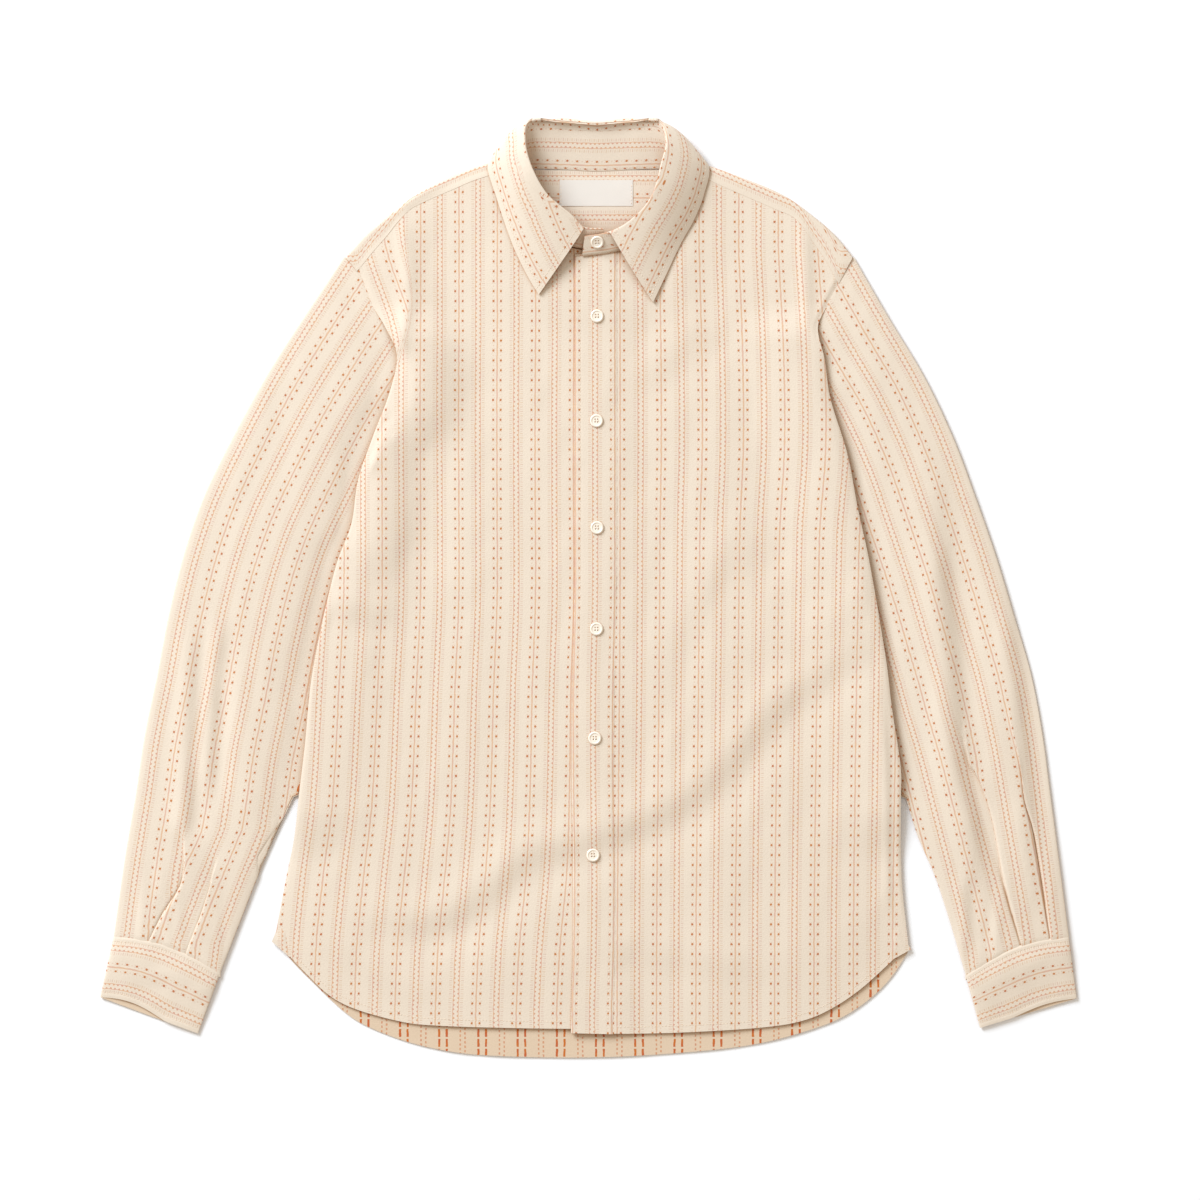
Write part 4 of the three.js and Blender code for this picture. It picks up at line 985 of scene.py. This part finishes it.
v, u = grid(np.linspace(1, 0, 12), np.linspace(0, 1, 30))
x, y = mix(LABEL[0], LABEL[1], u), mix(LABEL[2], LABEL[3], v)
label_z = CLOTH + LABEL_LIFT + 0.1 * soft_noise(x, y, 9, 8, 21)
cloth_piece("neck_label", stack(x, y, label_z), stack(x, y), LABEL_CUT, ["yoke_cloth"], LABEL_WALL,
            slot="label", materials=[label_satin()] * 2, flip=True)

# Buttons. Turned trocas shell with a raised rim, a shallow dish and four holes, sewn on with
# cream thread. The collar's button lies on the slope of the stand.
BUTTON_RADIUS = 5.8
BUTTON_SUNK = 0.3
HOLE_OFF = 1.15
HOLE_RADIUS = 0.62
THREAD_HEIGHT = 1.3
THREAD_RADIUS = 0.33
PEARL = "#FBF7EF"
PEARL_WARM = "#EADCC8"
THREAD_CREAM = "#EBD9C3"
FRONT_BUTTONS = [(8, 239), (7.5, 147), (8, 53), (7.5, -36), (6, -132), (4.5, -235)]
COLLAR_BUTTON = (0.967, 0.62)       # share of the stand's length and of its height


def trocas_shell():
    """Polished shell: a hard clear gloss over clouded cream layers."""
    material, tree = new_material("polished_shell")
    spot = add(tree, "ShaderNodeTexCoord").outputs["Object"]
    cloud = add(tree, "ShaderNodeTexNoise", links={
        "Vector": spot, "Scale": 260.0, "Detail": 2.0}).outputs[0]
    return surface(material, tree, {
        "Base Color": blend(tree, cloud, linear(PEARL), linear(PEARL_WARM)), "Roughness": 0.22,
        "IOR": 1.53, "Coat Weight": 0.4, "Coat Roughness": 0.1})


shell_material = trocas_shell()
# Spun polyester thread, cream and slightly glossy
thread_material = surface(*new_material("spun_thread"), {
    "Base Color": linear(THREAD_CREAM), "Roughness": 0.6, "Sheen Weight": 0.2})


def button_face(r, angle):
    """Height of a button's upper face: flat dish, rim as a smooth bump, four round holes sunk
    through it, each mirrored from the first."""
    gap = np.hypot(np.abs(r * np.cos(angle)) - HOLE_OFF, np.abs(r * np.sin(angle)) - HOLE_OFF)
    return (1.25 + 0.6 * smooth((r - 3.6) / 0.9) - 0.6 * smooth((r - 4.9) / 0.85)
            - 1.1 * smooth((HOLE_RADIUS - gap) / 0.22 + 0.5))


def tubes(name, starts, ends, lift, radius, slot):
    """Short thread stitches joined in one mesh: each a six-point bead from start to end, raised
    in its middle."""
    starts, ends, lift = (np.atleast_2d(np.array(p, float)) for p in (starts, ends, lift))
    side, rise = unit(np.cross(ends - starts, lift)) * radius, unit(lift) * radius
    near, far = mix(starts, ends, 0.15), mix(starts, ends, 0.85)
    rings = [near + side, near + rise, near - side, far + side, far + rise, far - side]
    vertices = np.stack([starts, *rings, ends], 1).reshape(-1, 3) * MM
    one = np.array([(0, 1, 2), (0, 2, 3), (0, 3, 1), (1, 4, 2), (2, 4, 5), (2, 5, 3), (3, 5, 6),
                    (3, 6, 1), (1, 6, 4), (4, 7, 5), (5, 7, 6), (6, 7, 4)])
    faces = (one[None] + 8 * np.arange(len(starts))[:, None, None]).reshape(-1, 3)
    mesh = bpy.data.meshes.new(name)
    mesh.from_pydata(vertices.tolist(), [], faces.tolist())
    mesh.polygons.foreach_set("use_smooth", np.ones(len(faces), bool))
    mesh.materials.append(thread_material)
    piece = place(name, mesh)
    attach(piece, "root")


def sew_on(button, centre, up):
    """Button and its threads: a closed shell of polar grids for its upper face, side and under
    face, with two parallel strands through the four holes. Its own X is the world's."""
    z_axis, x_axis = np.array(up, float), np.array([1.0, 0, 0])
    centre, axes = np.array(centre), np.stack([x_axis, np.cross(z_axis, x_axis), z_axis])
    radii = np.r_[0.02, np.linspace(0.25, BUTTON_RADIUS, 28)]
    under = np.array([(BUTTON_RADIUS, 0.7), (BUTTON_RADIUS - 0.9, 0.0), (0.02, 0.0)])
    r, a = grid(np.r_[radii, under[:, 0]], np.linspace(0, 2 * np.pi, 73))
    z = np.concatenate([button_face(r, a)[:len(radii)], under[:, 1:] + 0 * a[:3]])
    points = stack(r * np.cos(a), r * np.sin(a), z) @ axes + centre
    shell = sheet_mesh(f"{button}_shell", points, points[..., :2], [shell_material], wrap=True)
    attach(shell, "root")
    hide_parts(button)
    starts, ends = ([centre + np.array([k * HOLE_OFF, way * HOLE_OFF, THREAD_HEIGHT]) @ axes
                     for k in (-1, 1)] for way in (-1, 1))
    tubes(f"{button}_thread", starts, ends, z_axis, THREAD_RADIUS, "button")


for number, (x, y) in enumerate(FRONT_BUTTONS, 1):
    z = float(placket_height(np.array(float(x)), np.array(float(y))))
    sew_on(f"button_front_{number}", (x, y, z - BUTTON_SUNK), (0, 0, 1))

at, up_share = np.array(COLLAR_BUTTON[0]), COLLAR_BUTTON[1]
low, high = guide(STAND, 0, at), guide(STAND, 3, at)
collar_out = unit(np.array([0, low[2] - high[2], high[1] - low[1]]))
sew_on("button_collar", mix(low, high, up_share) + collar_out * (COLLAR_WALL - BUTTON_SUNK),
       collar_out)

# Stitching. Rows of short lockstitches in cream thread along the placket, the collar's edges, the
# cuffs, the hems and the ends of the label, and the bars of the buttonholes.
STITCH_PITCH = 3.0
STITCH_LENGTH = 2.2
STITCH_RADIUS = 0.26
HEM_STITCH = 6
LABEL_STITCH = 1.2
BUTTONHOLE_HALF = 7
BUTTONHOLE_RADIUS = 0.7


def inset_line(points, inset):
    """Line on a grid, `inset` mm in from its last column, straight between its columns."""
    flipped = points[:, ::-1]
    run = run_along(flipped, 1)
    rows, j = np.arange(len(points)), np.clip((run < inset).sum(1) - 1, 0, run.shape[1] - 2)
    share = (inset - run[rows, j]) / (run[rows, j + 1] - run[rows, j])
    return mix(flipped[rows, j], flipped[rows, j + 1], share[:, None])


def stitch_row(name, line, slot="shirting"):
    """Stitches at equal pitch along a line of points, each from its start to its end."""
    run = run_along(line)
    at = np.arange(1.0, run[-1] - STITCH_LENGTH - 1, STITCH_PITCH)
    spot = lambda d: stack(*(np.interp(d, run, line[:, k]) for k in range(3)))
    tubes(name, spot(at), spot(at + STITCH_LENGTH), (0, 0, 1), STITCH_RADIUS, slot)


# Bars of dense stitches that show a little above and below each button
x, y = np.array(FRONT_BUTTONS, float).T
bar_ends = [stack(x, y + k, placket_height(x, y + k) + 0.05)
            for k in (BUTTONHOLE_HALF, -BUTTONHOLE_HALF)]
tubes("buttonhole_stitches", *bar_ends, (0, 0, 1), BUTTONHOLE_RADIUS, "shirting")

y = np.linspace(286, -383, 500)
for seam, inset in {"edge": STITCH_IN, "seam": PLACKET_WIDTH - STITCH_IN}.items():
    x = front_edge(y) + inset
    stitch_row(f"stitch_placket_{seam}", stack(x, y, placket_height(x, y)))
stitch_row("stitch_leaf_edge", inset_line(leaf_points, LEAF_STITCH))
for side, way in {"left": -1, "right": 1}.items():
    end = leaf_points[::way].transpose(1, 0, 2)
    stitch_row(f"stitch_leaf_{side}_end", inset_line(end, LEAF_STITCH)[9:])
for side, (first, last) in {"left": (-262, -16), "right": (24, 268)}.items():
    hem, lift = FRONTS[side][3:5]
    x = np.linspace(first, last, 300)
    y = along(hem, x) + HEM_STITCH
    stitch_row(f"stitch_hem_{side}", stack(x, y, front_height(x, y, hem) + lift(x) + CLOTH))
for side, points in cuff_grids.items():
    for edge, way in {"mouth": 1, "seam": -1}.items():
        upper = points[::way, 1:CUFF_STEPS].transpose(1, 0, 2)
        stitch_row(f"stitch_cuff_{edge}_{side}", inset_line(upper, STITCH_IN))
y = np.linspace(LABEL[2] + 0.5, LABEL[3] - 0.5, 40)
for side, x in {"left": LABEL[0] + LABEL_STITCH, "right": LABEL[1] - LABEL_STITCH}.items():
    line = stack(np.full_like(y, x), y, np.full_like(y, label_z.mean()))
    stitch_row(f"stitch_label_{side}", line, "label")

({"cad": [list(corner) for corner in cad_box],
           "visual": [list(corner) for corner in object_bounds()]})
